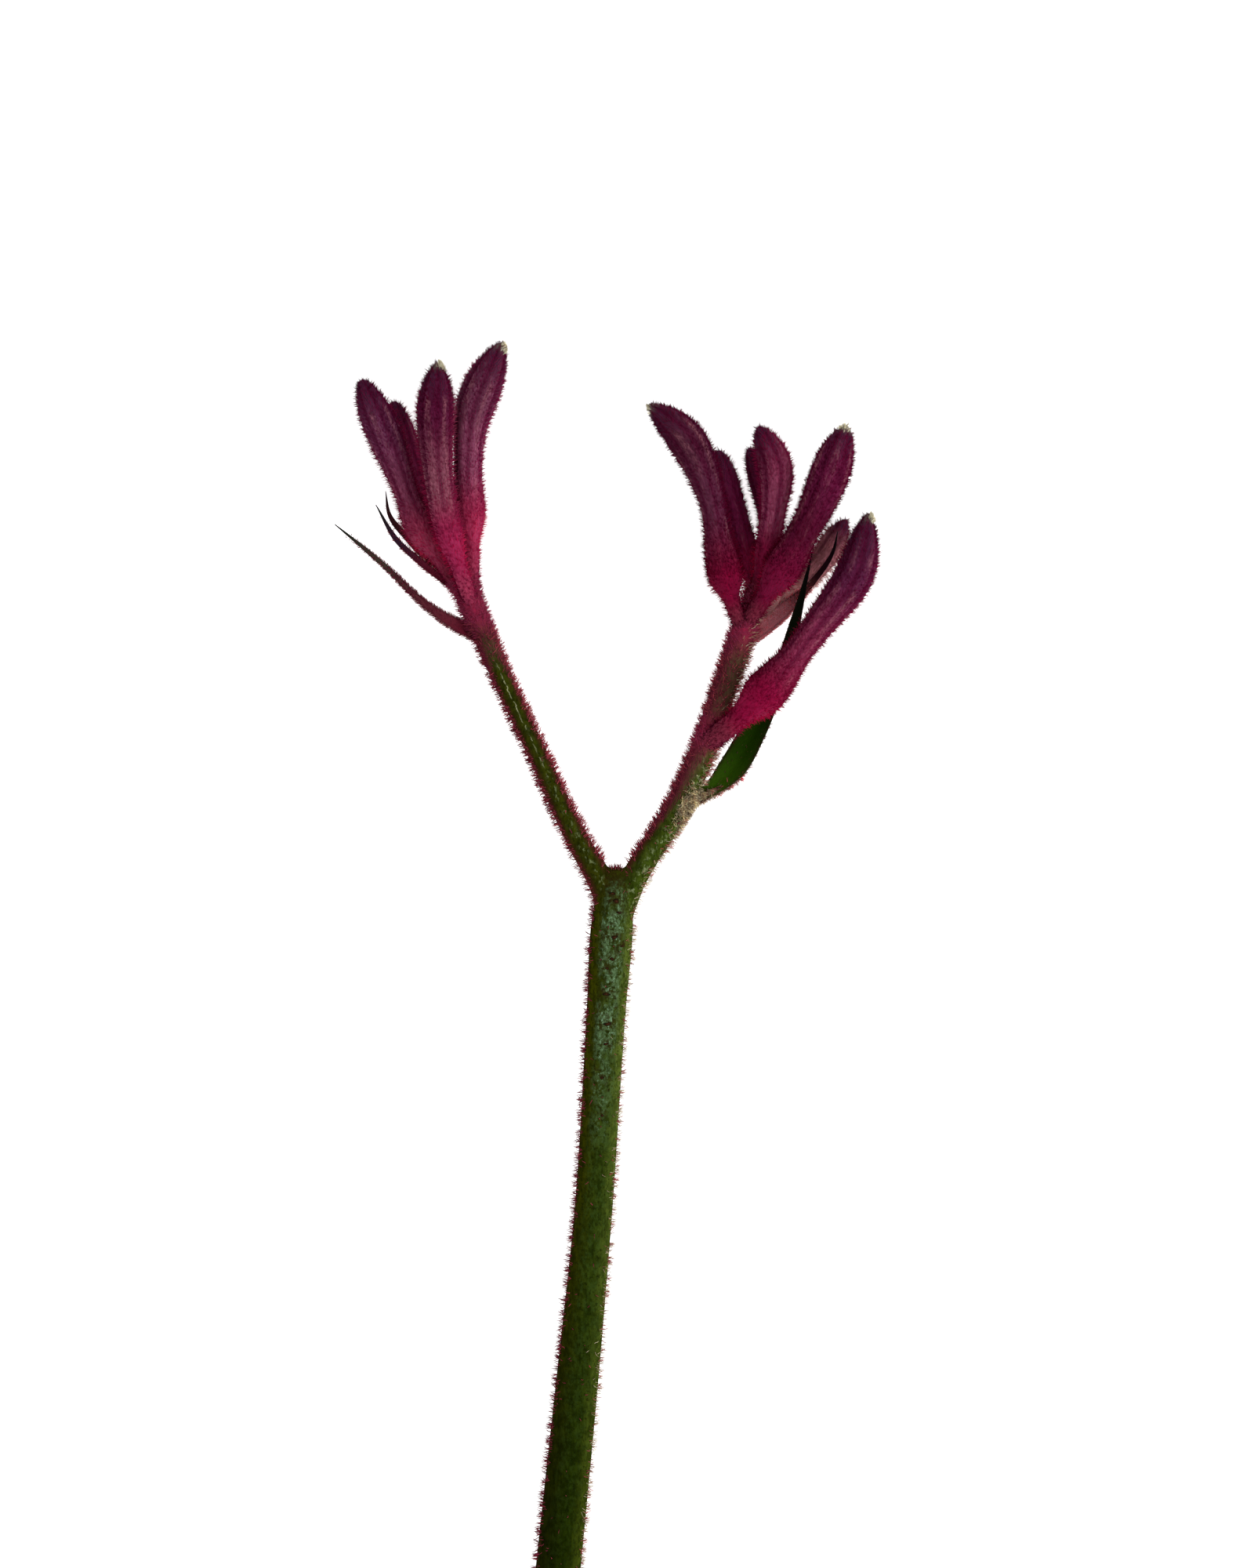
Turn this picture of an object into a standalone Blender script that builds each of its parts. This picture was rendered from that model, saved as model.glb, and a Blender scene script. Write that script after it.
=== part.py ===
"""A cut flowering stem of a kangaroo paw, lying on a surface: a forked stem, two heads of closed buds, five bracts.

Row frame: x to the right, y along the stem towards the heads, z up from the surface. All sizes are in millimetres.
"""

from typing import NamedTuple

import bmesh
import bpy
import numpy as np

MM = 0.001

# The stem and its two branches: x, y, z and radius at the points that a smooth middle line runs through.
STEM_ROUTE = [
    (-9.4, -101.4, 2.8, 3.2),
    (-6.5, -70.8, 2.95, 3.2),
    (-3.8, -44.2, 3.7, 3.0),
    (-1.5, -19.8, 4.7, 2.7),
    (0.35, 9.0, 6.1, 2.8),
    (1.15, 20.5, 6.8, 2.95),
    (1.75, 28.2, 7.1, 2.1),
]
BRANCH_LEFT_ROUTE = [
    (1.1, 21.7, 6.8, 1.9),
    (-0.5, 26.2, 7.1, 1.85),
    (-3.4, 31.4, 7.3, 1.65),
    (-10.4, 46.4, 7.8, 1.4),
    (-14.4, 55.0, 8.0, 1.45),
    (-17.6, 62.6, 8.2, 1.6),
    (-20.2, 69.2, 8.3, 1.9),
]
BRANCH_RIGHT_ROUTE = [
    (1.9, 21.4, 6.8, 2.1),
    (3.9, 26.1, 7.2, 1.9),
    (10.1, 36.2, 8.0, 1.8),
    (12.8, 41.8, 8.3, 1.85),
    (16.8, 53.0, 8.8, 1.7),
    (19.7, 61.8, 9.0, 1.65),
    (21.4, 68.2, 8.6, 0.8),
]
STEM_SIDES = 22
STEM_RINGS = 26
BRANCH_SIDES = 18
BRANCH_RINGS = 15
DOME_TURNS = (25, 50, 72)


class Bud(NamedTuple):
    """A closed bud. Its route starts on the middle line of the branch that carries it."""

    radii: tuple  # of stalk, ovary, neck and limb
    shares: tuple  # of the length: the stalk's end, the widest ovary, the neck and the widest limb
    turn: float  # of the six lobes, in degrees
    route: list
    closing: float = 0.72  # how fast the outline closes at the tip: the smaller, the blunter


BUDS = {
    "bud_left_1": Bud(
        radii=(1, 2.3, 1.6, 2.4),
        shares=(0.21, 0.35, 0.50, 0.78),
        turn=10,
        closing=0.55,
        route=[
            (-18.5, 65.4, 8.2),
            (-21.8, 69.6, 7.8),
            (-25.7, 75.9, 7.4),
            (-29.9, 86.5, 7.2),
            (-34.1, 96.6, 7.8),
        ],
    ),
    "bud_left_2": Bud(
        radii=(0.9, 1.75, 1.55, 1.85),
        shares=(0.19, 0.36, 0.52, 0.78),
        turn=0,
        closing=0.5,
        route=[
            (-17.9, 64.1, 8.1),
            (-20.0, 68.0, 5.6),
            (-24.3, 76.4, 2.7),
            (-28.3, 88.7, 1.5),
            (-29.8, 94.0, 2.0),
        ],
    ),
    "bud_left_3": Bud(
        radii=(1, 1.85, 1.9, 2.5),
        shares=(0.17, 0.33, 0.50, 0.80),
        turn=22,
        route=[
            (-18.5, 65.0, 8.4),
            (-19.5, 67.8, 10.8),
            (-21.9, 75.5, 11.7),
            (-23.5, 87.0, 11.3),
            (-23.3, 98.8, 11.4),
        ],
    ),
    "bud_left_4": Bud(
        radii=(1, 2.0, 1.85, 2.65),
        shares=(0.19, 0.32, 0.50, 0.79),
        turn=30,
        route=[
            (-18.7, 66.1, 8.2),
            (-18.6, 72.9, 7.8),
            (-19.1, 83.4, 7.6),
            (-18.7, 90.4, 7.8),
            (-14.4, 101.8, 8.3),
        ],
    ),
    "bud_right_1": Bud(
        radii=(1, 2.4, 1.65, 2.6),
        shares=(0.13, 0.24, 0.50, 0.77),
        turn=15,
        route=[
            (19.6, 61.2, 9.0),
            (17.8, 65.7, 10.8),
            (16.5, 71.4, 11.2),
            (14.6, 81.1, 11.0),
            (11.7, 87.9, 10.7),
            (6.3, 93.0, 10.4),
        ],
    ),
    "bud_right_2": Bud(
        radii=(0.8, 1.5, 1.5, 1.65),
        shares=(0.14, 0.33, 0.50, 0.78),
        turn=0,
        closing=0.5,
        route=[
            (20.5, 64.6, 8.8),
            (20.9, 68.4, 6.2),
            (19.3, 75.3, 4.4),
            (16.0, 86.9, 4.3),
        ],
    ),
    "bud_right_3": Bud(
        radii=(0.7, 1.2, 1.2, 1.3),
        shares=(0.16, 0.34, 0.50, 0.78),
        turn=20,
        closing=0.5,
        route=[
            (21.0, 67.1, 8.6),
            (23.3, 70.2, 6.3),
            (23.3, 75.8, 4.4),
            (20.5, 87.3, 4.2),
        ],
    ),
    "bud_right_4": Bud(
        radii=(0.8, 1.55, 1.65, 2.4),
        shares=(0.13, 0.30, 0.48, 0.74),
        turn=12,
        closing=0.62,
        route=[
            (20.7, 65.4, 8.8),
            (22.2, 70.4, 9.5),
            (23.8, 78.9, 8.8),
            (24.0, 84.1, 8.8),
            (21.7, 90.0, 9.0),
        ],
    ),
    "bud_right_5": Bud(
        radii=(1.1, 2.5, 2.1, 2.75),
        shares=(0.15, 0.32, 0.50, 0.78),
        turn=0,
        route=[
            (19.8, 62.2, 9.0),
            (22.8, 66.7, 12.0),
            (25.2, 70.5, 12.8),
            (30.3, 80.1, 12.4),
            (33.9, 89.9, 12.0),
        ],
    ),
    "bud_right_6": Bud(
        radii=(0.8, 1.55, 1.65, 1.8),
        shares=(0.20, 0.40, 0.55, 0.80),
        turn=8,
        route=[
            (20.0, 63.0, 8.9),
            (25.3, 66.2, 4.8),
            (30.9, 71.8, 1.7),
            (34.3, 77.3, 1.55),
        ],
    ),
    "bud_right_7": Bud(
        radii=(1.4, 2.85, 1.85, 2.6),
        shares=(0.16, 0.29, 0.47, 0.78),
        turn=25,
        route=[
            (13.9, 45.2, 8.6),
            (18.3, 48.7, 11.5),
            (22.1, 52.3, 12.2),
            (29.7, 61.8, 11.8),
            (35.0, 69.1, 11.5),
            (37.0, 77.7, 11.2),
        ],
    ),
}
BUD_SIDES = 24
RINGS_WITHIN = [
    (0, 0.5),
    (0, 0.3, 0.6, 0.85),
    (0.12, 0.4, 0.7),
    (0, 0.33, 0.67),
    (0, 0.3, 0.55, 0.75, 0.89, 0.97),
]
LOBES = 6
FURROW_OVARY = 0.03
FURROW_LIMB = 0.11
FURROW_SHARPNESS = 1.4
TIP_BLUNTNESS = 1.9


class Bract(NamedTuple):
    """A folded leaf blade: x, y, z and half width at the points of its route, which starts on its branch."""

    roll: float  # of the blade's face about its route, in degrees
    route: list


BRACTS = {
    "bract_left_1": Bract(
        roll=-35,
        route=[
            (-17.6, 61.0, 8.2, 1.55),
            (-20.5, 62.1, 8.7, 1.1),
            (-24.5, 64.6, 9.1, 0.65),
            (-30.6, 70.3, 8.3, 0.42),
            (-37.9, 76.4, 6.0, 0.3),
        ],
    ),
    "bract_left_2": Bract(
        roll=-25,
        route=[
            (-18.1, 64.5, 8.0, 0.5),
            (-20.8, 67.0, 7.5, 0.45),
            (-25.7, 71.0, 8.0, 0.5),
            (-29.1, 74.1, 8.8, 0.4),
            (-32.0, 79.0, 9.2, 0.3),
        ],
    ),
    "bract_left_3": Bract(
        roll=-20,
        route=[
            (-18.2, 64.8, 7.4, 0.5),
            (-21.1, 67.7, 5.2, 0.42),
            (-27.6, 74.4, 3.0, 0.48),
            (-30.3, 77.8, 3.8, 0.38),
            (-30.8, 81.1, 5.2, 0.3),
        ],
    ),
    "bract_right_1": Bract(
        roll=20,
        route=[
            (11.6, 37.2, 8.2, 0.8),
            (14.7, 39.0, 7.9, 1.05),
            (18.0, 41.8, 7.5, 1.65),
            (21.0, 47.1, 7.0, 1.8),
            (24.1, 53.9, 7.2, 1.2),
            (26.6, 61.9, 9.0, 0.8),
            (29.3, 72.9, 10.8, 0.3),
        ],
    ),
    "bract_right_2": Bract(
        roll=30,
        route=[
            (19.9, 60.4, 8.8, 1.45),
            (24.3, 63.6, 7.2, 1.25),
            (29.2, 68.2, 7.4, 0.5),
            (32.2, 72.6, 7.8, 0.35),
            (32.8, 75.3, 8.2, 0.3),
        ],
    ),
}
BLADE_THICK = 0.7
BLADE_RINGS = 16
BLADE_POINTS = 7
BLADE_FOLD = 0.35
FOLD_SHARPNESS = 1.5
EDGE_ROUNDING = 0.35

# The pieces in the order of building: each is trimmed clear of the stem and of the pieces before it.
SEAT_GAP = 0.32
ORDER = [
    "bud_left_4",
    "bud_left_1",
    "bud_left_3",
    "bud_left_2",
    "bract_left_1",
    "bract_left_2",
    "bract_left_3",
    "bud_right_5",
    "bud_right_1",
    "bud_right_7",
    "bud_right_4",
    "bud_right_2",
    "bud_right_6",
    "bud_right_3",
    "bract_right_1",
    "bract_right_2",
]

STEM_COLOUR = (0.090, 0.120, 0.030)
BUD_COLOUR = (0.110, 0.018, 0.045)
BRACT_COLOURS = {"left": (0.070, 0.045, 0.040), "right": (0.025, 0.055, 0.012)}
ROUGHNESS = 0.62


def clear_scene():
    for obj in list(bpy.data.objects):
        bpy.data.objects.remove(obj)


def material(name, colour):
    made = bpy.data.materials.new(name)
    made.use_nodes = True
    shader = made.node_tree.nodes["Principled BSDF"]
    shader.inputs["Base Color"].default_value = (*colour, 1)
    shader.inputs["Roughness"].default_value = ROUGHNESS
    return made


def smooth_route(points, steps=240):
    """Many points on a smooth curve through the given ones, and how far along it each lies."""
    points = np.array(points, float)
    chord = np.linalg.norm(np.diff(points[:, :3], axis=0), axis=1)
    knots = np.concatenate([[0], np.cumsum(chord)])
    slopes = np.gradient(points, knots, axis=0)
    where = np.linspace(0, knots[-1], steps)
    i = np.clip(np.searchsorted(knots, where, side="right") - 1, 0, len(chord) - 1)
    span = chord[i][:, None]
    t = (where - knots[i])[:, None] / span
    start = (1 + 2 * t) * (1 - t) ** 2 * points[i] + t * (1 - t) ** 2 * span * slopes[i]
    end = t**2 * (3 - 2 * t) * points[i + 1] + t**2 * (t - 1) * span * slopes[i + 1]
    curve = start + end
    pieces = np.linalg.norm(np.diff(curve[:, :3], axis=0), axis=1)
    return curve, np.concatenate([[0], np.cumsum(pieces)])


def spots_on(points, shares):
    """The points at these shares of the smooth route's length."""
    curve, along = smooth_route(points)
    return np.array([np.interp(shares, along / along[-1], column) for column in curve.T]).T


def frames(centres):
    """Two unit vectors across the curve at each point: the first stays level, the second points up."""
    tangent = np.gradient(centres, axis=0)
    tangent /= np.linalg.norm(tangent, axis=1)[:, None]
    side = np.cross(tangent, (0, 0, 1))
    side /= np.linalg.norm(side, axis=1)[:, None]
    return side, np.cross(side, tangent)


def tube_mesh(rings, start, end):
    """A closed mesh through the rings of points, with a fan on the point at each end."""
    count = len(rings[0])
    points = [start, *np.vstack(rings), end]
    faces = []
    for k in range(count):
        following = (k + 1) % count
        faces.append((0, 1 + following, 1 + k))
        for i in range(len(rings) - 1):
            low = 1 + i * count
            high = low + count
            faces.append((low + k, low + following, high + following, high + k))
        last = 1 + (len(rings) - 1) * count
        faces.append((last + k, last + following, len(points) - 1))
    return np.array(points), faces


def to_object(name, points, faces):
    mesh = bpy.data.meshes.new(name)
    mesh.from_pydata((points * MM).tolist(), [], faces)
    bm = bmesh.new()
    bm.from_mesh(mesh)
    bmesh.ops.recalc_face_normals(bm, faces=bm.faces)
    bmesh.ops.triangulate(bm, faces=[face for face in bm.faces if len(face.verts) > 3])
    bm.to_mesh(mesh)
    bm.free()
    obj = bpy.data.objects.new(name, mesh)
    bpy.context.scene.collection.objects.link(obj)
    return obj


def round_tube(name, route, ring_count, sides, grow=0.0):
    """A round solid along the route, flat at its start and domed at its end."""
    curve, along = smooth_route(route)
    end_radius = curve[-1, 3]
    dome = np.sin(np.radians(DOME_TURNS))
    straight = np.linspace(0, along[-1] - end_radius, ring_count)
    places = np.concatenate([straight, along[-1] - end_radius * (1 - dome)])
    spots = spots_on(route, places / along[-1])
    shrink = np.append(np.ones(ring_count), np.sqrt(1 - dome**2))
    radius = spots[:, 3] * shrink + grow
    side, up = frames(spots[:, :3])
    angles = np.arange(sides) * 2 * np.pi / sides
    rings = []
    for spot, s, u, size in zip(spots, side, up, radius, strict=True):
        across = np.outer(np.cos(angles), s) + np.outer(np.sin(angles), u)
        rings.append(spot[:3] + across * size)
    tip = curve[-1, :3] + np.cross(up[-1], side[-1]) * grow
    return to_object(name, *tube_mesh(rings, spots[0, :3], tip))


def ease(share):
    return share * share * (3 - 2 * share)


def bud_radius(t, radii, shares, tip_closing):
    """The bud's radius at each share of its length: stalk, ovary, neck, limb, then the blunt tip."""
    stalk, ovary, neck, limb = radii
    marks = [(shares[0], shares[1], stalk, ovary), (shares[1], shares[2], ovary, neck)]
    marks.append((shares[2], shares[3], neck, limb))
    found = np.full(len(t), stalk)
    for start, end, low, high in marks:
        inside = t >= start
        part = np.clip((t[inside] - start) / (end - start), 0, 1)
        found[inside] = low + (high - low) * ease(part)
    closing = np.clip((t - shares[3]) / (1 - shares[3]), 0, 1)
    return found * (1 - closing**TIP_BLUNTNESS) ** tip_closing


def ring_shares(shares):
    """Where the bud's rings lie: closest where its outline turns most."""
    ends = [0, *shares, 1]
    marks = []
    for start, end, parts in zip(ends[:-1], ends[1:], RINGS_WITHIN, strict=True):
        marks += [start + (end - start) * part for part in parts]
    return np.array(marks)


def bud_rings(bud, grow=0.0):
    shares = ring_shares(bud.shares)
    spots = spots_on(bud.route, np.append(shares, 1.0))
    side, up = frames(spots)
    radius = bud_radius(shares, bud.radii, bud.shares, bud.closing) + grow
    stalk, ovary, _, limb = bud.shares
    depth = np.interp(shares, (stalk, ovary, limb), (0, FURROW_OVARY, FURROW_LIMB))
    angles = np.arange(BUD_SIDES) * 2 * np.pi / BUD_SIDES
    furrow = (0.5 + 0.5 * np.cos(LOBES * angles)) ** FURROW_SHARPNESS
    turned = angles + np.radians(bud.turn)
    rings = []
    for i, size in enumerate(radius):
        across = np.outer(np.cos(turned), side[i]) + np.outer(np.sin(turned), up[i])
        lobed = size * (1 - depth[i] * furrow)
        rings.append(spots[i] + across * lobed[:, None])
    tip = spots[-1] + (spots[-1] - spots[-2]) * grow
    return rings, spots[0], tip


def bud_solid(name, bud, grow=0.0):
    return to_object(name, *tube_mesh(*bud_rings(bud, grow)))


def blade_section(half_width, grow):
    """Outline of a folded blade across its length: out along the back, home along the inside."""
    across = np.linspace(-1, 1, BLADE_POINTS)
    sag = BLADE_FOLD * half_width * (1 - np.abs(across) ** FOLD_SHARPNESS)
    half = BLADE_THICK / 2 + grow
    rounding = half * EDGE_ROUNDING
    reach = half_width + grow
    wide = across * (reach - rounding)
    back = np.stack([wide, -sag - half], axis=1)
    inside = np.stack([wide, -sag + half], axis=1)[::-1]
    back[[0, -1], 1] += rounding
    inside[[0, -1], 1] -= rounding
    return np.vstack([back, [(reach, 0)], inside, [(-reach, 0)]])


def blade_solid(name, bract, grow=0.0):
    spots = spots_on(bract.route, np.linspace(0, 1, BLADE_RINGS))
    side, up = frames(spots[:, :3])
    roll = np.radians(bract.roll)
    rings = []
    for spot, s, u in zip(spots, side, up, strict=True):
        wide = s * np.cos(roll) + u * np.sin(roll)
        deep = u * np.cos(roll) - s * np.sin(roll)
        section = blade_section(spot[3], grow)
        rings.append(spot[:3] + np.outer(section[:, 0], wide) + np.outer(section[:, 1], deep))
    return to_object(name, *tube_mesh(rings, rings[0].mean(axis=0), rings[-1].mean(axis=0)))


def head_piece(name, grow=0.0):
    made = name if grow == 0 else name + "_cutter"
    if name in BUDS:
        return bud_solid(made, BUDS[name], grow)
    return blade_solid(made, BRACTS[name], grow)


def apply_booleans(obj, others, operation):
    for other in others:
        modifier = obj.modifiers.new(other.name, "BOOLEAN")
        modifier.operation = operation
        modifier.solver = "EXACT"
        modifier.object = other
    bpy.context.view_layer.update()
    graph = bpy.context.evaluated_depsgraph_get()
    mesh = bpy.data.meshes.new_from_object(obj.evaluated_get(graph))
    obj.modifiers.clear()
    obj.data = mesh


def keep_largest(obj):
    """Drops what a trim left loose, so that the piece stays one body."""
    bm = bmesh.new()
    bm.from_mesh(obj.data)
    bmesh.ops.triangulate(bm, faces=bm.faces)
    left = set(bm.verts)
    bodies = []
    while left:
        body = {left.pop()}
        edge = set(body)
        while edge:
            edge = {link.other_vert(v) for v in edge for link in v.link_edges} - body
            body |= edge
        left -= body
        bodies.append(body)
    best = max(bodies, key=len)
    bmesh.ops.delete(bm, geom=[v for v in bm.verts if v not in best], context="VERTS")
    bm.to_mesh(obj.data)
    bm.free()


def flatten_below(obj):
    """Presses what would lie under the surface flat onto it."""
    for vertex in obj.data.vertices:
        vertex.co.z = max(vertex.co.z, 0.0)


def near(first, second):
    """Whether the boxes of two objects come close enough for a trim."""
    boxes = [np.array([v.co for v in obj.data.vertices]) for obj in (first, second)]
    low = np.maximum(boxes[0].min(axis=0), boxes[1].min(axis=0))
    high = np.minimum(boxes[0].max(axis=0), boxes[1].max(axis=0))
    return bool((low < high).all())


def stem_tubes(grow=0.0):
    suffix = "" if grow == 0 else "_cutter"
    main = round_tube("stem" + suffix, STEM_ROUTE, STEM_RINGS, STEM_SIDES, grow)
    left = round_tube("branch_left" + suffix, BRANCH_LEFT_ROUTE, BRANCH_RINGS, BRANCH_SIDES, grow)
    right = round_tube("branch_right" + suffix, BRANCH_RIGHT_ROUTE, BRANCH_RINGS, BRANCH_SIDES, grow)
    return main, left, right


def build_stem():
    main, left, right = stem_tubes()
    apply_booleans(main, [left, right], "UNION")
    bpy.data.objects.remove(left)
    bpy.data.objects.remove(right)
    keep_largest(main)
    flatten_below(main)
    return main


def build_heads():
    cutters = list(stem_tubes(SEAT_GAP))
    pieces = []
    for name in ORDER:
        piece = head_piece(name)
        apply_booleans(piece, [cutter for cutter in cutters if near(piece, cutter)], "DIFFERENCE")
        keep_largest(piece)
        flatten_below(piece)
        pieces.append(piece)
        cutters.append(head_piece(name, SEAT_GAP))
    for cutter in cutters:
        bpy.data.objects.remove(cutter)
    return pieces


def colour_of(name):
    if name in BUDS:
        return BUD_COLOUR
    return BRACT_COLOURS[name.split("_")[1]]


def dress(obj, colour):
    obj.data.materials.clear()
    obj.data.materials.append(material(obj.name, colour))
    obj.data.shade_smooth()


def main():
    clear_scene()
    dress(build_stem(), STEM_COLOUR)
    for piece in build_heads():
        dress(piece, colour_of(piece.name))


main()
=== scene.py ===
"""Looks of the cut kangaroo paw: felted buds, a hairy stem, folded bracts, floor, light and camera.

Sizes and places are in millimetres until a mesh is made, in the row frame: x right, y along the stem, z up.
"""

from typing import NamedTuple

import bpy
import numpy as np
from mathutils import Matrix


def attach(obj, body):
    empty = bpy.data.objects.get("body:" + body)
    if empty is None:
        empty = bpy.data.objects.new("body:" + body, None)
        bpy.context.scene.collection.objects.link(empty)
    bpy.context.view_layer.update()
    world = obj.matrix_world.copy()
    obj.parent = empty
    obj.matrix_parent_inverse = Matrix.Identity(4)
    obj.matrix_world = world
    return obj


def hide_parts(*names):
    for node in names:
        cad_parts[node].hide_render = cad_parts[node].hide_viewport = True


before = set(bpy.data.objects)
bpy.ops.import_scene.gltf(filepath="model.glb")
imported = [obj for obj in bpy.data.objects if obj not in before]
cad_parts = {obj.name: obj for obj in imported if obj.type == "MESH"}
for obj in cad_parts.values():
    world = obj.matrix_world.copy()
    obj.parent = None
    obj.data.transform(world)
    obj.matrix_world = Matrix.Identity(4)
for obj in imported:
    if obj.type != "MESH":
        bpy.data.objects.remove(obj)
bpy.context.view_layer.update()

MM = 0.001
LOWEST = 0.02  # no skin but the stem's, and no hair, comes nearer to the floor

# The routes of the stem and its two branches: x, y, z and radius.
STEM_ROUTE = [
    (-9.4, -101.4, 2.8, 3.2),
    (-6.5, -70.8, 2.95, 3.2),
    (-3.8, -44.2, 3.7, 3.0),
    (-1.5, -19.8, 4.7, 2.7),
    (0.35, 9.0, 6.1, 2.8),
    (1.15, 20.5, 6.8, 2.95),
    (1.75, 28.2, 7.1, 2.1),
]
BRANCH_LEFT_ROUTE = [
    (1.1, 21.7, 6.8, 1.9),
    (-0.5, 26.2, 7.1, 1.85),
    (-3.4, 31.4, 7.3, 1.65),
    (-10.4, 46.4, 7.8, 1.4),
    (-14.4, 55.0, 8.0, 1.45),
    (-17.6, 62.6, 8.2, 1.6),
    (-20.2, 69.2, 8.3, 1.9),
]
BRANCH_RIGHT_ROUTE = [
    (1.9, 21.4, 6.8, 2.1),
    (3.9, 26.1, 7.2, 1.9),
    (10.1, 36.2, 8.0, 1.8),
    (12.8, 41.8, 8.3, 1.85),
    (16.8, 53.0, 8.8, 1.7),
    (19.7, 61.8, 9.0, 1.65),
    (21.4, 68.2, 8.6, 0.8),
]
STEM, LEFT, RIGHT = range(3)

# Colours seen on the surface, as red, green and blue from 0 to 255.
CRIMSON = (140, 30, 66)
ROSE = (172, 46, 82)
WINE = (98, 22, 48)
BUD_FOOT = (84, 26, 40)
ROSY_FOOT = (112, 36, 58)
TAN = (128, 84, 88)
INK = (44, 16, 34)
SAGE = (70, 66, 58)
# the painted shade in a bud's furrows
FURROW_SHADE = (58, 4, 30)
STRAW = (200, 190, 180)

# How bright the light makes a surface: under felt, on felt and on bare skin.
LIGHT_UNDER_FELT = 0.42
LIGHT_ON_FELT = 0.62
LIGHT_ON_SKIN = 1.15


class Bud(NamedTuple):
    """A closed bud: the radii of its stalk, ovary, neck and limb, and the shares of its length where the
    stalk ends and where each of the other three is reached."""

    radii: tuple
    shares: tuple
    route: list
    ovary: tuple
    tube: tuple
    limb: tuple
    foot: tuple = BUD_FOOT
    turn: float = 0  # of the lobes round the bud, in degrees
    tuft: float = 0  # the way that the pale tuft at the tip faces, in degrees, seen along the bud
    tuft_size: int = 0  # its number of hairs
    pale: bool = False
    closing: float = 0.72  # how fast the outline closes at the tip: the smaller, the blunter
    shaded_side: int = -1  # the side where shade is painted into the felt, deepest crimson: -1 the left, 1 the right


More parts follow.
